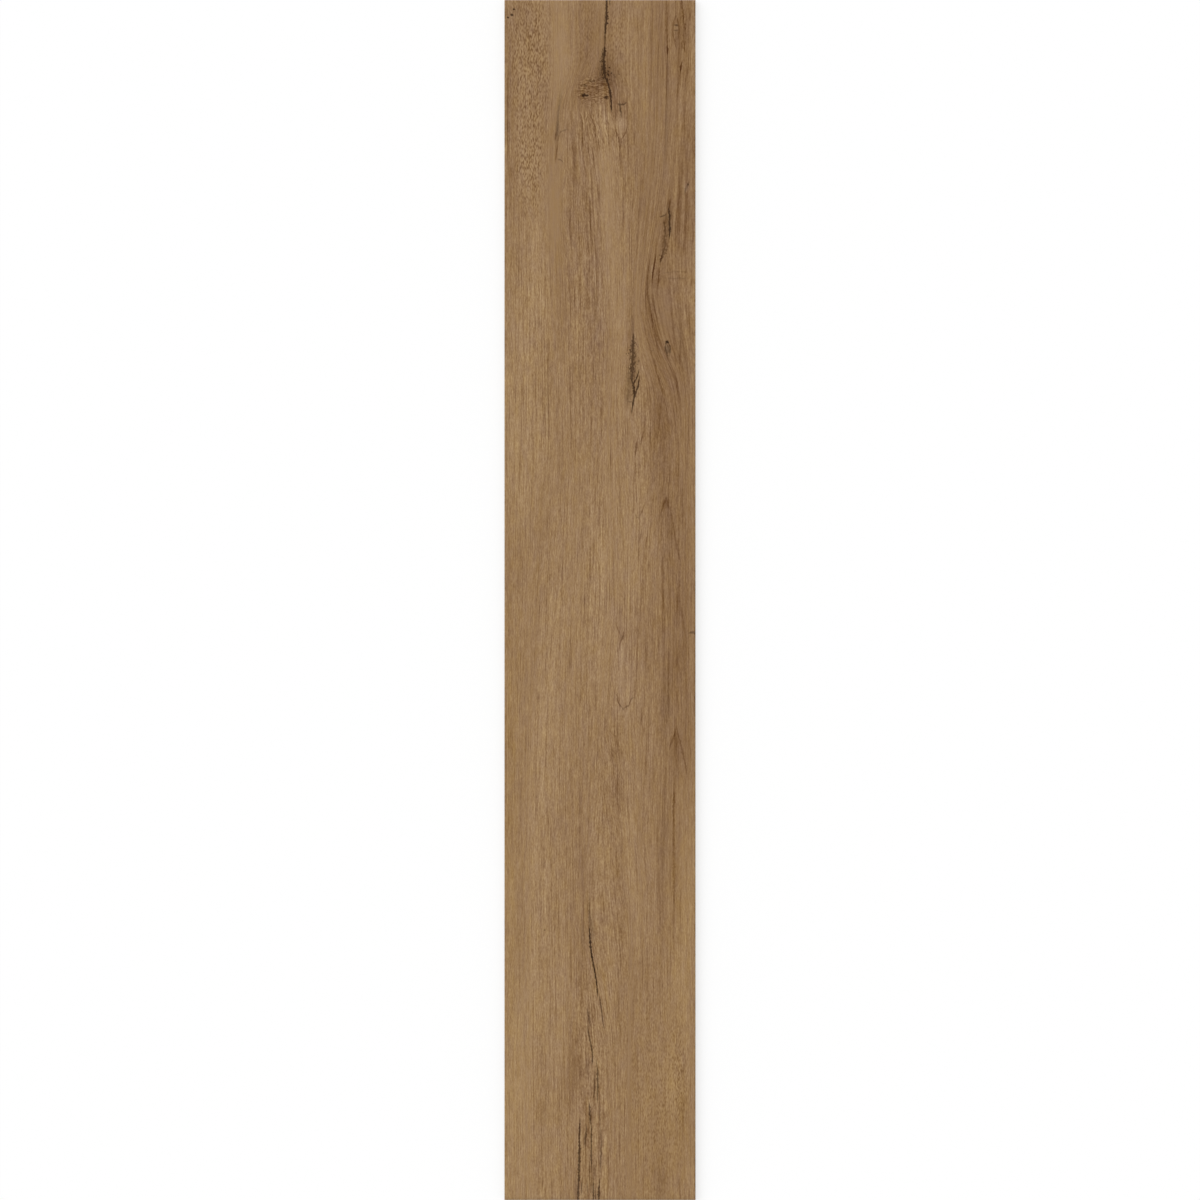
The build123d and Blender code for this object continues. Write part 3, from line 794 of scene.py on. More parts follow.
# %% Cracks
CRACKS = [
    # The head crack runs down into the knot
    (0.85, [(6.8, -2, 1.2), (6.5, 12, 1.3), (6.4, 20, 1.6), (5.4, 28, 1.3), (5.2, 33, 1.0), (5, 38)]),
    (0.5, [(5.2, 26), (5, 36, 1.2), (4.8, 43, 1.0), (4.6, 49)]),
    (0.85, [(4.8, 45), (4.4, 49, 1.8), (4, 56, 2.2), (3.6, 64, 2.3), (3.8, 70, 2.6), (4.8, 75, 3.4),
            (6.4, 79, 3.0), (7.8, 82, 1.2), (9, 86, 1.5), (10, 91, 1.4), (10.4, 95, 1.3),
            (10.6, 97.5, 0.5), (11, 100, 1.2), (11.5, 104, 1.2), (11.2, 108, 1.2), (11.4, 113)]),
    (0.6, [(9, -2, 1.0), (9.8, 2, 0.9), (10.2, 6)]),
    (0.62, [(19.5, 101), (19.8, 106, 1.1), (20.8, 112, 1.0), (21.2, 118)]),
    # The gash
    (0.82, [(68.8, 207), (69.2, 212, 1.3), (69.6, 216, 1.5), (69.3, 222, 1.2), (69.9, 229, 1.5),
            (69.6, 234, 1.1), (69, 239)]),
    (0.4, [(63.4, 219), (64.4, 224, 1.2), (65, 231, 1.1), (64.8, 239, 1.2), (65, 246, 1.3),
           (64.4, 250)]),
    (0.42, [(65, 245), (64, 250, 1.8), (62.8, 254, 2.2), (61.8, 258, 1.4), (60.2, 261, 1.3),
            (59.4, 265)]),
    (0.45, [(67.2, 246), (66.4, 250, 1.0), (65.2, 254)]),
    # The grey lens near the right edge
    (0.28, [(89.2, 181), (87.6, 185, 1.8), (86, 189, 2.2), (84.4, 194)]),
    # The eye of the burl
    (0.6, [(66.6, 342), (65.2, 347, 1.0), (65.8, 351, 1.0), (67.6, 357)]),
    (0.6, [(68, 342), (70.2, 347, 1.0), (70.4, 351, 1.0), (68.8, 357)]),
    # The forked crack at the side
    (0.7, [(33.6, 332), (33.3, 341, 1.9), (33, 348, 2.5), (32.9, 356, 2.7), (32.6, 364, 2.4),
           (32, 372, 2.1), (31.8, 379, 1.6), (32.2, 385)]),
    (0.82, [(31.2, 378), (33, 384, 1.3), (34, 389, 1.3), (34.4, 394, 1.7), (33.8, 399, 1.3),
            (32.8, 405, 1.0), (31.4, 414)]),
    (0.82, [(39.6, 376), (38.6, 383, 1.1), (37.2, 388, 1.2), (35.6, 393, 1.3), (34.4, 400)]),
    (0.8, [(39.2, 369), (38, 374, 0.9), (36.2, 379, 1.3), (34, 382.5, 1.2), (32.4, 387)]),
    # The long crack of the foot end
    (0.45, [(-10.8, 896), (-10.8, 906, 0.7), (-10.6, 918, 0.9), (-10.5, 927)]),
    (0.95, [(-10.8, 926), (-10.4, 932, 1.0), (-10, 940, 1.2), (-9.2, 948, 1.2), (-8.2, 955, 1.2),
            (-7, 962, 1.1), (-5.6, 969, 1.0), (-4.4, 976, 0.9), (-3.4, 983, 0.9), (-2.8, 989, 0.8),
            (-2.4, 996)]),
    (0.4, [(-3.2, 961), (-2.5, 968, 0.8), (-2, 975)]),
    (0.5, [(-1.5, 993), (-0.5, 999, 0.9), (0.8, 1004, 0.9), (1.4, 1010, 0.8), (2.6, 1020, 0.7),
           (4, 1031)]),
    # The short cracks beside it
    (0.5, [(-12.8, 1008), (-12, 1014, 0.9), (-10.8, 1020, 0.9), (-9.8, 1027)]),
    (0.65, [(-12.6, 1026), (-11.8, 1032, 0.9), (-10.4, 1038, 0.9), (-9.2, 1044, 0.9), (-8.2, 1049, 0.9),
            (-7.3, 1055, 1.1), (-7.6, 1060, 0.9), (-8, 1065)]),
    (0.6, [(-3.6, 1059), (-2.8, 1068, 0.9), (-2.4, 1077, 1.1), (-2.2, 1086, 1.1), (-2.4, 1094, 0.9),
           (-2.6, 1102)]),
    (0.7, [(-10.4, 1102), (-10.5, 1108, 1.1), (-10, 1114, 1.2), (-9.6, 1120, 1.2), (-10, 1127)]),
    (0.5, [(-13.4, 1124), (-13.8, 1132, 1.4), (-14.8, 1139, 1.3), (-15.2, 1148)]),
    (0.5, [(-5.2, 1072), (-5.4, 1082, 0.8), (-5.8, 1091, 0.8), (-6.4, 1100)]),
    (0.26, [(-0.6, 1095), (-0.3, 1108, 0.8), (-0.4, 1120, 0.8), (0.6, 1132, 1.0), (1.6, 1142, 1.0),
            (1, 1156, 0.8), (0.6, 1168)]),
    (0.3, [(-10.6, 1162), (-11, 1172, 0.8), (-10.4, 1182)]),
    (0.5, [(-18.3, 1181), (-18.5, 1188, 0.9), (-18.3, 1195)]),
    (0.35, [(-12.6, 1180), (-12.8, 1187, 1.1), (-12.4, 1194)]),
    (0.74, [(-19.8, 1118), (-20.4, 1128, 1.1), (-20.6, 1140, 1.2), (-20.6, 1152, 1.3),
            (-20.8, 1165, 1.4), (-21.2, 1178, 1.4), (-21.8, 1190, 1.3), (-22, 1202, 1.2)]),
    (0.66, [(-8.5, 1121), (-8.6, 1132, 0.9), (-8.7, 1145, 0.9), (-8.7, 1158, 0.9), (-8.4, 1171)]),
    (0.6, [(-7, 1176), (-6.7, 1186, 0.9), (-6.5, 1194, 0.9), (-6.4, 1203, 0.9)]),
    (0.4, [(-9.2, 1174), (-8.9, 1184, 0.8), (-8.7, 1194)]),
    (0.4, [(-4.8, 1184), (-4.5, 1194, 0.8), (-4.4, 1203, 0.8)]),
    (0.5, [(1, 1144), (0.9, 1154, 0.8), (0.7, 1162, 0.8), (0.6, 1172)]),
    (0.75, [(-0.4, 1178), (-0.8, 1188, 1.1), (-1.2, 1194, 1.2), (-1.5, 1203, 1.3)]),
]

crack_lines = [(darkness, with_widths(points)) for darkness, points in CRACKS]
lanes = [lane_vectors(lane) for lane in shared_lanes(crack_lines)]
print(f"{len(CRACKS)} cracks in {len(lanes)} lanes")

# %% [markdown]
# Marks across the grain, and spots.
# Where a growth ring is cut at a shallow angle it turns back in a small U or V. Those marks are carried the
# same way, with the distance measured down the plank. Worm holes and the dark eyes of the knots are ovals:
# each point carries its place in the oval of the nearest one, so the shader can draw a clean round edge.
# Spots that lie close together are put in different sets, so that no small square has to serve two of them.

# %% Cross marks and spots
CROSS_MARKS = [
    # (darkness, half width, points)
    (0.5, 1.0, [(73.2, 25.8), (76, 25.2), (78.8, 25.8)]),
    (0.4, 1.0, [(73.2, 30.2), (76, 30.6), (78.8, 30.2)]),
    (0.55, 1.2, [(59.4, 216.8), (62, 216.4), (64.5, 215.8), (67, 213.4)]),
    (0.58, 1.1, [(17, 103.6), (19.5, 104.4), (22, 104.4), (24, 104.6), (27, 102.4)]),
    (0.4, 1.0, [(26.5, 398), (29, 402), (32.5, 401.5)]),
    (0.2, 1.3, [(34.5, 513), (37, 517.5), (39, 517.5), (40.6, 514)]),
    (0.26, 1.1, [(16.6, 695), (18.3, 702.6), (19.4, 704.2), (21.2, 706.4), (23, 709.4), (25, 707.6),
                 (26.6, 706.4), (28.6, 705.6), (30, 701.6), (31.6, 698.8), (34.6, 697)]),
    (0.45, 1.4, [(88.5, 633), (92, 632.5), (95.5, 632.5)]),
    (0.25, 0.9, [(-42.5, 135), (-38, 131), (-32.5, 129.5)]),
    (0.35, 0.9, [(-42.5, 159), (-39, 160), (-36, 163.5)]),
    (0.12, 1.0, [(62, 273), (70, 272.5), (80, 271.5), (88, 272)]),
    (0.15, 1.0, [(66, 279), (76, 278.5), (87, 278)]),
]
CROSS_REACH = 10.0
SPOTS = [
    # (across, down), (half width, half height), darkness
    ((-16.4, 95.2), (3.0, 2.1), 0.9),
    ((-13, 95.8), (2.0, 1.7), 0.85),
    ((6.4, 97.6), (2.6, 2.2), 0.75),
    ((-15, 85.4), (3.6, 1.6), 0.40),
    ((-8.5, 81.0), (6.0, 1.6), 0.40),
    ((1, 79.5), (4.0, 2.4), 0.30),
    ((13.9, 75), (1.1, 0.9), 0.45),
    ((-86, 9.4), (1.6, 1.4), 0.95),
    ((-88.2, 15), (1.5, 1.4), 0.9),
    ((-92, 17.5), (1.6, 1.4), 0.95),
    ((-55.5, 930), (1.3, 1.1), 0.4),
    ((67.2, 342), (2.3, 2.2), 1.0),
    ((67.9, 349.5), (3.6, 7.0), 0.48),
    ((88, 184.6), (1.2, 1.6), 0.75),
    ((38.2, 361), (1.3, 2.0), 0.4),
    ((22.6, 637), (1.9, 3.0), 0.2),
]
MARK_APART = 30.0
CROSS_OVERRUN = 1.0
CROSS_FADE = 1.5


def kept_apart(marks, place_of):
    """Sort marks into sets, in which no two lie closer than MARK_APART."""
    groups = []
    for mark in marks:
        free = [
            group for group in groups
            if all(math.dist(place_of(mark), place_of(other)) > MARK_APART for other in group)
        ]
        if free:
            free[0].append(mark)
        else:
            groups.append([mark])
    return groups


def cross_vectors(group):
    """For each point of the sheet: distance down from a mark, the mark's half width, its darkness."""
    vectors = np.zeros((*across.shape, 3))
    vectors[..., 1] = 1.0
    for darkness, half_width, points in group:
        places, downs = (np.array(values, float) for values in zip(*points))
        offset = down - np.interp(across, places, downs)
        ends = np.minimum(across - places[0], places[-1] - across)
        near = (ends > -CROSS_OVERRUN) & (np.abs(offset) < CROSS_REACH)
        vectors[near, 0] = offset[near]
        vectors[near, 1] = half_width
        vectors[near, 2] = (darkness * np.clip(ends / CROSS_FADE, 0, 1))[near]
    return vectors


def spot_vectors(group):
    """For each point of the sheet: its place in the nearest spot's oval, and that spot's darkness."""
    vectors = np.zeros((*across.shape, 3))
    nearest = np.full(across.shape, np.inf)
    for (place, place_down), (half_width, half_height), darkness in group:
        sideways = across - place
        lengthways = down - place_down
        distance = np.hypot(sideways, lengthways)
        closer = distance < nearest
        nearest[closer] = distance[closer]
        vectors[closer, 0] = sideways[closer] / half_width
        vectors[closer, 1] = lengthways[closer] / half_height
        vectors[closer, 2] = darkness
    return vectors


cross_groups = kept_apart(CROSS_MARKS, lambda mark: mark[2][len(mark[2]) // 2])
crosses = [cross_vectors(group) for group in cross_groups]
spots = [spot_vectors(group) for group in kept_apart(SPOTS, lambda spot: spot[0])]
print(f"{len(CROSS_MARKS)} marks across the grain in {len(crosses)} sets")
print(f"{len(SPOTS)} spots in {len(spots)} sets")

# %% [markdown]
# The knot.
# In a knot the fibres swirl round the old branch. The sheet carries each point's place in the knot's oval,
# and a cover that fades out past its rim, and the shader draws a tangle there in place of streaks.

# %% Knot cover
KNOT_MIDDLE = (-6.0, 91.0)
KNOT_SIZE = (16.0, 13.0)
KNOT_RIM = 1.35
KNOT_FADE = 0.5

knot = np.zeros((*across.shape, 3))
knot[..., 0] = (across - KNOT_MIDDLE[0]) / KNOT_SIZE[0]
knot[..., 1] = (down - KNOT_MIDDLE[1]) / KNOT_SIZE[1]
knot[..., 2] = np.clip((KNOT_RIM - np.hypot(knot[..., 0], knot[..., 1])) / KNOT_FADE, 0, 1)
print(f"The knot covers {(knot[..., 2] > 0.5).sum()} points")

# %% [markdown]
# What each point of the sheet carries.
# The sheet is an ordinary mesh of squares. Its numbers go into named attributes, which both Geometry Nodes
# and the shader can read.

# %% The flat sheet with what is printed on it
RIM_FADE = 4.0
GROOVE_FROM = 0.55

points = np.stack([across, tile_length / 2 - down, np.full_like(across, tile_thickness)], axis=-1)
numbers = np.arange(across.size).reshape(across.shape)
squares = np.stack([numbers[1:, :-1], numbers[1:, 1:], numbers[:-1, 1:], numbers[:-1, :-1]], axis=-1)
sheet_mesh = bpy.data.meshes.new("printed_sheet")
sheet_mesh.from_pydata((points * MM).reshape(-1, 3).tolist(), [], squares.reshape(-1, 4).tolist())

to_edge = np.minimum(
    face_half_width - np.abs(across), face_half_length - np.abs(down - tile_length / 2)
)
rim_cover = np.clip(to_edge / RIM_FADE, 0, 1)
groove = np.zeros_like(across)
for lane in lanes:
    depth = np.clip(1 - np.abs(lane[..., 0]) / np.maximum(lane[..., 1], THIN), 0, 1)
    groove = np.maximum(groove, depth * (lane[..., 2] > GROOVE_FROM))

strength = 1 + printed["grain"]
carried = {
    "grain": np.stack([grain, down, np.zeros_like(grain)], axis=-1),
    "print": np.stack([printed["tone"], printed["warmth"], strength], axis=-1),
    "zone": np.stack([printed["fleck"], printed["rings"], printed["smear"]], axis=-1),
    "relief": np.stack([rim_cover * strength, rim_cover * groove, rim_cover], axis=-1),
    "knot": knot,
}
carried.update({f"line_{number}": vectors for number, vectors in enumerate(line_lanes)})
carried.update({f"lane_{number}": vectors for number, vectors in enumerate(lanes + crosses)})
carried.update({f"spot_{number}": vectors for number, vectors in enumerate(spots)})
for name, values in carried.items():
    layer = sheet_mesh.attributes.new(name, "FLOAT_VECTOR", "POINT")
    layer.data.foreach_set("vector", values.reshape(-1).astype(np.float32))
print(f"The sheet has {len(sheet_mesh.polygons)} squares and carries {len(carried)} vectors a point")

# %% [markdown]
# The printed oak.
# The ink is worked out as a tone in screen levels, above or below the plank's middle brown, because that is
# how a print is judged by eye. Streaks are noise drawn out along the grain: short, middling and long ones
# together have the crisp, broken look of open oak grain that no single noise gives.

# %% Fine grain
RING_WIDTH = 7.0
FLECK_CEILING = 17.0

oak_print, tree = new_material("oak_print")


def carried_parts(name):
    """The three numbers that the sheet carries under that name."""
    wire = Wire.node(tree, "ShaderNodeAttribute", {"attribute_name": name}, output="Vector")
    return wire.parts()


grain_across, grain_down, _ = carried_parts("grain")
band_tone, band_warmth, grain_strength = carried_parts("print")
fleck_cover, ring_cover, smear = carried_parts("zone")


def streaks(width, length, shift, detail=0.0):
    """Noise around 0, drawn out along the grain: streaks of that width and length in mm."""
    place = joined(tree, grain_across / width + shift, grain_down / length, shift)
    return noise(tree, place, detail) - 0.5


short_fibres = streaks(0.6, 2.6, 3.7, 1.0)
fibres = streaks(0.6, 11.0, 17.1, 1.0)
long_fibres = streaks(0.8, 45.0, 29.3, 1.0)
hairlines = streaks(0.7, 170.0, 37.9)
strands = streaks(3.4, 90.0, 41.9, 1.0)
pores = (0 - long_fibres - hairlines * 0.5).ramp_up(0.12, 0.30)
# Each factor is how many levels the tone swings with the streaks
grain_tone = short_fibres * 48.0 + fibres * 60.0 + long_fibres * 32.0 + hairlines * 22.0
grain_tone = grain_tone + strands * 10.0 - pores * 14.0 + 1.0
fleck_tone = (streaks(0.55, 3.2, 67.3) * 155.0).math("MINIMUM", FLECK_CEILING) + 2.5
ring_turn = (grain_across / RING_WIDTH + streaks(12.0, 160.0, 53.7) * 3.0).math("FRACT")
ring_tone = streaks(1.6, 280.0, 61.3, 1.0) * 44.0 - (1 - ring_turn).math("POWER", 4.0) * 14.0 + 3.0
tone = band_tone + grain_strength * grain_tone + fleck_cover * fleck_tone + ring_cover * ring_tone
print("The fine grain is drawn")

# %% [markdown]
# Drawing the marks.
# A crack drawn with a clean edge looks like a pen line, and a painted brush would need a picture. So each
# mark's half width swells and thins with noise and its middle wanders, which leaves the edge ragged at any
# size. Ring lines change the tone. Smears, cracks and spots are ink, and where two meet the darker counts.

# %% Knot, cracks and spots
MARK_GAIN = 1.8
EDGE_WANDER = 1.0
CRUMBLE = 0.5
BEADING = 1.6
RIM_CRUMBS = 1.4
SMEAR_CRUMBS = 1.5
KNOT_RINGS = 4.0
KNOT_SWIRL = 6.0
KNOT_RING_TONE = 150.0
KNOT_TONE = -27.0
KNOT_TANGLE_TONE = 80.0

knot_x, knot_y, knot_cover = carried_parts("knot")
swirl = noise(tree, joined(tree, knot_x * 1.6, knot_y * 2.0, 7.0), 2.0)
turn = (knot_y * KNOT_RINGS + swirl * KNOT_SWIRL).math("FRACT")
tangle = noise(tree, joined(tree, knot_x * 6.0, knot_y * 8.0, 3.0), 1.0) - 0.5
knot_tone = turn * (1 - turn) * KNOT_RING_TONE + KNOT_TONE + tangle * KNOT_TANGLE_TONE
tone = tone + knot_cover * knot_tone

ragged = streaks(1.6, 4.0, 71.9, 1.0)
crumbs = streaks(1.2, 2.4, 83.3, 1.0)


def drawn(distance, half_width, darkness):
    """A mark's ink: full along its middle, wandering, beaded, and broken into crumbs where it is wide."""
    half_width = (half_width * (1 + crumbs * BEADING)).math("MAXIMUM", THIN)
    reach = 1 - abs(distance / half_width + ragged * EDGE_WANDER)
    return ((reach + crumbs * half_width * half_width * CRUMBLE) * MARK_GAIN).clamped() * darkness


def spotted(spot_x, spot_y, darkness):
    """A spot's ink: full in the middle of its oval, ragged at its rim."""
    reach = 1 - (spot_x * spot_x + spot_y * spot_y).math("SQRT")
    return ((reach + crumbs * RIM_CRUMBS) * MARK_GAIN).clamped() * darkness


for number in range(len(line_lanes)):
    tone = tone + drawn(*carried_parts(f"line_{number}"))
ink = smear * (1 + crumbs * SMEAR_CRUMBS)
for number in range(len(lanes + crosses)):
    ink = ink.math("MAXIMUM", drawn(*carried_parts(f"lane_{number}")))
for number in range(len(spots)):
    ink = ink.math("MAXIMUM", spotted(*carried_parts(f"spot_{number}")))
print(f"Ink from {len(lanes)} lanes, {len(crosses)} sets of cross marks and {len(spots)} sets of spots")

# %% [markdown]
# Tone to colour, and the glaze.
# One ramp from dark to pale would give every streak the same hue. So two ramps, one greyer and one warmer,
# turn tone into colour, and a share between them sets the hue. The cracks are then laid over in a brown
# black, with a stain of darker oak under them. The matte glaze over the ink adds a faint sheen of white, so
# each colour is mixed a little darker than it should look.

# %% Tone to colour, and the glaze
TONE_LOW, TONE_HIGH = -70.0, 50.0
OAK_TONES = [
    # Tone in levels, and how the plank looks on screen at that tone
    (-70, (78, 47, 21)),
    (-45, (103, 72.5, 42.5)),
    (-23, (125, 94.5, 64)),
    (0, (148, 118, 84.5)),
    (20, (168, 138.5, 102)),
    (50, (198, 169.5, 128)),
]
CRACK_INK = (38, 28, 12)
INK_SHARE = 0.88
INK_STAIN = 22.0
GLAZE_SHEEN = 0.0086
WARM_SHIFT = (2.5, 0.5, -9.7)
WARM_SPAN = 10.0
SMALL_TINT, LARGE_TINT = 0.55, 0.35
GLAZE_ROUGHNESS = 0.62
GLAZE_SPECULAR = 0.12
DENT_STRENGTH = 0.5
DENT_DEPTH = 0.06 * MM


def under_glaze(*screen):
    """The ink colour that looks like those screen levels once the glaze adds its sheen of white."""
    return (*(max(level - GLAZE_SHEEN, 0.0) for level in from_screen(*screen)[:3]), 1.0)


def oak_stops(side):
    """The oak tones as ramp stops, greyer for side -1 and warmer for side 1."""
    return [
        (
            (tone - TONE_LOW) / (TONE_HIGH - TONE_LOW),
            under_glaze(*(level + side * shift for level, shift in zip(screen, WARM_SHIFT))),
        )
        for tone, screen in OAK_TONES
    ]


tone_place = (tone - ink * INK_STAIN - TONE_LOW) * (1.0 / (TONE_HIGH - TONE_LOW))
grey_oak = Wire.node(tree, "ShaderNodeValToRGB", {"stops": oak_stops(-1)}, {"Fac": tone_place})
warm_oak = Wire.node(tree, "ShaderNodeValToRGB", {"stops": oak_stops(1)}, {"Fac": tone_place})
tint = streaks(4.0, 14.0, 97.3, 1.0) * SMALL_TINT + streaks(9.0, 40.0, 103.1, 1.0) * LARGE_TINT
warm_share = (band_warmth * (0.5 / WARM_SPAN) + tint + 0.5).clamped()
bare_oak = mixed(tree, warm_share, grey_oak, warm_oak)
oak_colour = mixed(tree, ink * INK_SHARE, bare_oak, under_glaze(*CRACK_INK))
dent_height = fibres + short_fibres * 0.5
dents = Wire.node(
    tree,
    "ShaderNodeBump",
    inputs={"Strength": DENT_STRENGTH, "Distance": DENT_DEPTH, "Height": dent_height},
    output="Normal",
)
oak_shader = Wire.node(
    tree,
    "ShaderNodeBsdfPrincipled",
    inputs={
        "Base Color": oak_colour,
        "Roughness": (GLAZE_ROUGHNESS + fibres * 0.25 + ink * 0.15).clamped(),
        "Specular IOR Level": GLAZE_SPECULAR,
        "Normal": dents,
    },
)
show_surface(tree, oak_shader)
print(f"The print is a tree of {len(tree.nodes)} nodes")

# %% [markdown]
# The relief of the printed face.
# The glaze of such a plank is not flat: soft ridges follow the grain, pores are pressed in, and the cracks
# are shallow grooves. A Bump node would fake this only in shading, and a Displace modifier has no grain to
# follow. A Geometry Nodes tree can read the grain the sheet carries, so it makes the relief here, only ever
# downwards from the face, and it fades out at the rim where the sheet meets the bevel.

# %% The relief tree
RELIEF_SIZES = {
    "Ridge Height": 0.14 * MM,
    "Ridge Width": 3.2,
    "Ridge Length": 70.0,
    "Pore Depth": 0.05 * MM,
    "Pore Width": 1.3,
    "Pore Length": 14.0,
    "Groove Depth": 0.30 * MM,
    "Seed": 5.0,
}

relief = bpy.data.node_groups.new("grain_relief", "GeometryNodeTree")
relief.interface.new_socket("Geometry", in_out="INPUT", socket_type="NodeSocketGeometry")
relief.interface.new_socket("Geometry", in_out="OUTPUT", socket_type="NodeSocketGeometry")
for name in RELIEF_SIZES:
    relief.interface.new_socket(name, in_out="INPUT", socket_type="NodeSocketFloat")
relief.interface.new_socket("Glaze", in_out="INPUT", socket_type="NodeSocketMaterial")
sizes = relief.nodes.new("NodeGroupInput").outputs


def sheet_parts(name):
    """The three numbers that the sheet carries under that name, inside the relief tree."""
    wire = Wire.node(
        relief, "GeometryNodeInputNamedAttribute", {"data_type": "FLOAT_VECTOR"}, {"Name": name}
    )
    return wire.parts()


size = {name: Wire(relief, sizes[name]) for name in RELIEF_SIZES}
line, run, _ = sheet_parts("grain")
ridge_share, groove_share, dimple_share = sheet_parts("relief")
ridge_place = joined(relief, line / size["Ridge Width"], run / size["Ridge Length"], size["Seed"])
pore_seed = size["Seed"] + 9.0
pore_place = joined(relief, line / size["Pore Width"], run / size["Pore Length"], pore_seed)
ridges = noise(relief, ridge_place, 1.0) * size["Ridge Height"] * ridge_share
dimples = noise(relief, pore_place).ramp_up(0.55, 0.8) * size["Pore Depth"] * dimple_share
sunk = ridges + dimples + groove_share * size["Groove Depth"]
lowered = Wire.node(
    relief,
    "GeometryNodeSetPosition",
    inputs={"Geometry": Wire(relief, sizes["Geometry"]), "Offset": joined(relief, 0.0, 0.0, 0 - sunk)},
)
plain = Wire.node(relief, "GeometryNodeRealizeInstances", inputs={"Geometry": lowered})
glazed = Wire.node(
    relief,
    "GeometryNodeSetMaterial",
    inputs={"Geometry": plain, "Material": Wire(relief, sizes["Glaze"])},
)
Wire.node(relief, "NodeGroupOutput", inputs={"Geometry": glazed})

sheet = bpy.data.objects.new("printed_sheet", sheet_mesh)
bpy.context.collection.objects.link(sheet)
modifier = sheet.modifiers.new("relief", "NODES")
modifier.node_group = relief
identifiers = {item.name: item.identifier for item in relief.interface.items_tree}
for name, value in RELIEF_SIZES.items():
    modifier[identifiers[name]] = value
modifier[identifiers["Glaze"]] = oak_print
evaluated = sheet.evaluated_get(bpy.context.evaluated_depsgraph_get())
relief_mesh = bpy.data.meshes.new_from_object(evaluated)
sheet.modifiers.remove(modifier)
bpy.data.objects.remove(sheet)
heights = np.array([vertex.co.z for vertex in relief_mesh.vertices]) / MM
print(f"The relief lies between {heights.min():.3f} and {heights.max():.3f} mm")

# %% [markdown]
# The bare body.
# The edges were ground after firing and show the body itself, a warm beige stoneware with fine specks and
# faint grinding lines. The back was never glazed: its ribs carry a thin whitish wash that keeps the slab
# from sticking to the kiln rollers, rubbed away in places.

# %% Fired body material
BODY_DARK = from_screen(158, 140, 118)
BODY_PALE = from_screen(184, 167, 144)
WASH = from_screen(208, 200, 187)
SPECK = from_screen(112, 96, 78)
SPECK_SHARE = 0.55
WASH_SHARE = 0.75
BODY_ROUGHNESS = 0.8
BODY_SPECULAR = 0.3
SAND_STRENGTH = 0.6
SAND_DEPTH = 0.05 * MM

fired_body, tree = new_material("fired_body")
object_place = Wire.node(tree, "ShaderNodeTexCoord", output="Object")


def scaled(vector, factors):
    """A vector wire times three numbers, so that noise on it has that many features a metre."""
    return Wire.node(tree, "ShaderNodeVectorMath", {"operation": "MULTIPLY"}, {0: vector, 1: factors})


clouds = noise(tree, scaled(object_place, (60, 60, 60)), 3.0)
sand = noise(tree, scaled(object_place, (1400, 1400, 1400)), 2.0)
grinding = noise(tree, scaled(object_place, (40, 40, 2600)), 2.0)
specks = noise(tree, scaled(object_place, (700, 700, 700)), 1.0).ramp_up(0.68, 0.74)
height = object_place.parts()[2]
on_wall = height.ramp_up(0.9 * MM, 1.2 * MM)
on_rib = 1 - height.ramp_up(0.05 * MM, 0.25 * MM)
worn = noise(tree, scaled(object_place, (90, 35, 90)), 3.0).ramp_up(0.38, 0.62)
pale_share = clouds * 0.7 + sand * 0.5 + on_wall * (grinding - 0.5) * 0.6 - 0.1
body = mixed(tree, pale_share.clamped(), BODY_DARK, BODY_PALE)
body = mixed(tree, specks * SPECK_SHARE, body, SPECK)
body = mixed(tree, on_rib * worn * WASH_SHARE, body, WASH)
body_height = sand + on_wall * grinding
body_bump = Wire.node(
    tree,
    "ShaderNodeBump",
    inputs={"Strength": SAND_STRENGTH, "Distance": SAND_DEPTH, "Height": body_height},
    output="Normal",
)
body_shader = Wire.node(
    tree,
    "ShaderNodeBsdfPrincipled",
    inputs={
        "Base Color": body,
        "Roughness": (BODY_ROUGHNESS + sand * 0.15).clamped(),
        "Specular IOR Level": BODY_SPECULAR,
        "Normal": body_bump,
    },
)
show_surface(tree, body_shader)
print(f"The fired body is a tree of {len(tree.nodes)} nodes")

# %% [markdown]
# One closed slab.
# The sheet alone is a skin. Its border is drawn out to make the bevel, then down to make the four edges, and
# a copy of the CAD model's keyed back closes it. The glaze runs over the bevel, and the edges below it are
# bare. The back has only four long outer sides, so each triangle on them is replaced by a fan of narrow ones
# that reach every point of the edge above. The slab is then one watertight mesh.

# %% Bevel and edges
WELD = 0.02

cad_heights = cad_points[:, 2]
bevel_foot = cad_heights[cad_heights < tile_thickness - WELD].max()
outline = Vector((tile_width / 2, tile_length / 2)) * MM
face_outline = Vector((face_half_width - WELD, face_half_length - WELD)) * MM
slab = bmesh.new()
slab.from_mesh(relief_mesh)
for face in slab.faces:
    face.smooth = True


def drawn_out(border, height):
    """Draw an open border out to the slab's outline at that height in mm, and return the new border."""
    made = bmesh.ops.extrude_edge_only(slab, edges=border)["geom"]
    for vertex in (part for part in made if isinstance(part, bmesh.types.BMVert)):
        for axis in (0, 1):
            if abs(vertex.co[axis]) > face_outline[axis]:
                vertex.co[axis] = math.copysign(outline[axis], vertex.co[axis])
        vertex.co.z = height * MM
    for face in (part for part in made if isinstance(part, bmesh.types.BMFace)):
        face.smooth = False
    return [edge for edge in slab.edges if edge.is_boundary]


border = drawn_out([edge for edge in slab.edges if edge.is_boundary], bevel_foot)
border = drawn_out(border, 0.0)
print(f"The bevel starts {bevel_foot:.2f} mm up, and {len(border)} short sides run round the foot")

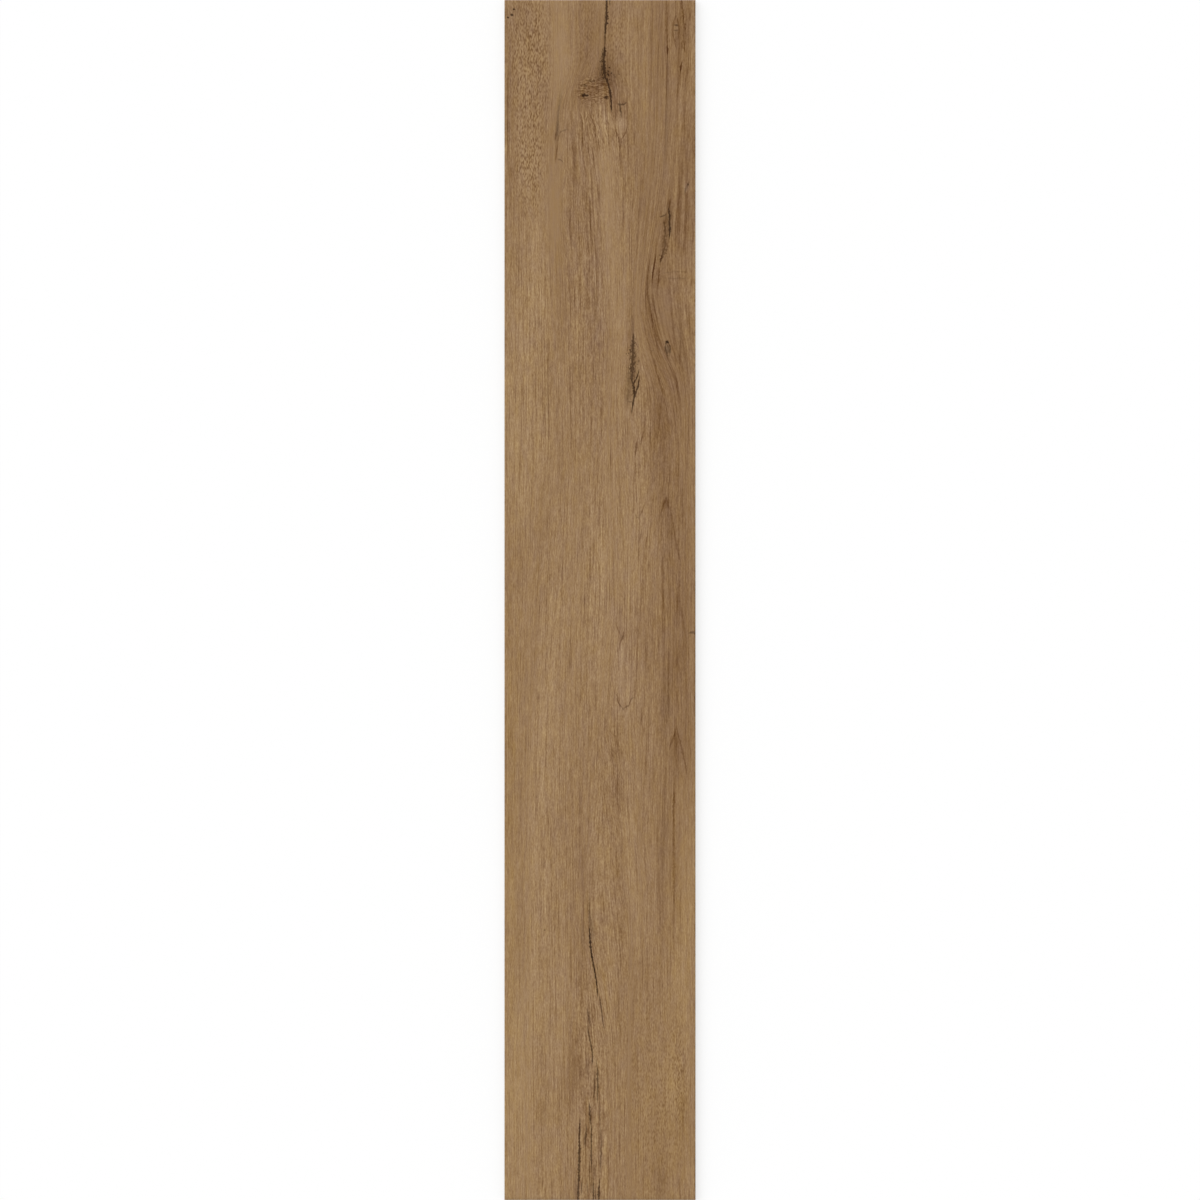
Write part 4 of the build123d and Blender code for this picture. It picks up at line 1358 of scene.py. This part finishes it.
# %% The keyed back
back = bmesh.new()
back.from_mesh(cad_tile.data)
bmesh.ops.remove_doubles(back, verts=back.verts, dist=WELD * MM / 10)
back.verts.index_update()
back_faces = []
for face in back.faces:
    middle = face.calc_center_median() / MM
    on_edge = abs(middle.x) > tile_width / 2 - WELD or abs(middle.y) > tile_length / 2 - WELD
    if not on_edge and middle.z < bevel_foot - WELD:
        back_faces.append([vertex.index for vertex in face.verts])
back_mesh = bpy.data.meshes.new("keyed_back")
back_mesh.from_pydata([vertex.co for vertex in back.verts], [], back_faces)
back.free()
slab.from_mesh(back_mesh)
bmesh.ops.delete(slab, geom=[vertex for vertex in slab.verts if not vertex.link_faces], context="VERTS")
open_foot = [vertex for vertex in slab.verts if vertex.is_boundary]
bmesh.ops.remove_doubles(slab, verts=open_foot, dist=WELD * MM)
print(f"The keyed back has {len(back_faces)} faces")

# %% Fans from the edges to the back
LONG_SIDE = 10.0 * MM

long_sides = [edge for edge in slab.edges if edge.is_boundary and edge.calc_length() > LONG_SIDE]
foot_points = {vertex for edge in slab.edges if edge.is_boundary for vertex in edge.verts}
for edge in long_sides:
    start, end = edge.verts
    span = end.co - start.co
    run_axis = 0 if abs(span.x) > abs(span.y) else 1
    side_axis = 1 - run_axis
    tip = next(vertex for vertex in edge.link_faces[0].verts if vertex not in edge.verts)
    chain = [
        vertex for vertex in foot_points
        if abs(vertex.co[side_axis] - start.co[side_axis]) < WELD * MM
        and 0 < (vertex.co[run_axis] - start.co[run_axis]) / span[run_axis] < 1
    ]
    chain.sort(key=lambda vertex: abs(vertex.co[run_axis] - start.co[run_axis]))
    chain = [start, *chain, end]
    slab.faces.remove(edge.link_faces[0])
    slab.edges.remove(edge)
    for first, second in zip(chain, chain[1:]):
        slab.faces.new((first, second, tip))
bmesh.ops.recalc_face_normals(slab, faces=slab.faces)
still_open = sum(not edge.is_manifold for edge in slab.edges)
print(f"{len(long_sides)} long sides closed, {still_open} open edges left")

# %% [markdown]
# A flat map of the slab.
# When the model is exported, its finish is baked into one square picture. Left to itself, Blender would lay
# a slab six times longer than wide along that square and waste most of it. This map lays the printed face
# down as two halves side by side, so that the grain gets about two pixels a millimetre, and gives the back
# and the edges narrow strips.

# %% Unwrap strip by strip
STRIPS = {
    "head": (0.004, 0.374),
    "foot": (0.382, 0.752),
    "back": (0.762, 0.902),
    "left": (0.912, 0.932),
    "right": (0.940, 0.960),
    "ends": (0.968, 0.992),
}
STRIP_TOP, STRIP_FOOT = 0.996, 0.004
END_SHARE = 0.49
HEAD_END_FROM = 0.51
UPRIGHT = 0.9
FACING_UP = 0.2

GLAZE, BODY = 0, 1
bake_map = slab.loops.layers.uv.new("OFBake")


def strip_of(face):
    """The strip that a face of the slab goes to."""
    middle = face.calc_center_median() / MM
    if face.material_index == GLAZE:
        return "head" if middle.y > 0 else "foot"
    if abs(face.normal.x) > UPRIGHT:
        return "left" if middle.x < 0 else "right"
    if abs(face.normal.y) > UPRIGHT:
        return "ends"
    return "back"


def strip_place(name, point):
    """Where a point in mm lies in its strip: shares of the strip's width and height."""
    by_width = point.x / tile_width + 0.5
    by_length = point.y / tile_length + 0.5
    by_height = point.z / tile_thickness
    if name in ("head", "foot"):
        return by_width, 2 * by_length - (1 if name == "head" else 0)
    if name == "back":
        return by_width, by_length
    if name == "ends":
        return by_height, by_width * END_SHARE + (HEAD_END_FROM if point.y > 0 else 0.0)
    return by_height, by_length


for face in slab.faces:
    face.material_index = GLAZE if face.smooth or face.normal.z > FACING_UP else BODY
for face in slab.faces:
    name = strip_of(face)
    left, right = STRIPS[name]
    for loop in face.loops:
        share_across, share_up = strip_place(name, loop.vert.co / MM)
        loop[bake_map].uv = (
            left + (right - left) * share_across,
            STRIP_FOOT + (STRIP_TOP - STRIP_FOOT) * share_up,
        )
print(f"{len(slab.faces)} faces laid out in {len(STRIPS)} strips")

# %% [markdown]
# The finished piece.
# The slab replaces the CAD node, which stays hidden for the physics. Its object sits at the origin and its
# place is in its mesh, as in the CAD model, so nothing has to be fitted.

# %% Hand over the slab
plank_mesh = bpy.data.meshes.new("oak_plank")
slab.to_mesh(plank_mesh)
slab.free()
plank_mesh.materials.append(oak_print)
plank_mesh.materials.append(fired_body)
plank = bpy.data.objects.new("oak_plank", plank_mesh)
bpy.context.collection.objects.link(plank)
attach(plank, "root")
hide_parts("plank_tile")
triangles = sum(len(face.vertices) - 2 for face in plank_mesh.polygons)
print(f"The plank has {triangles} triangles")
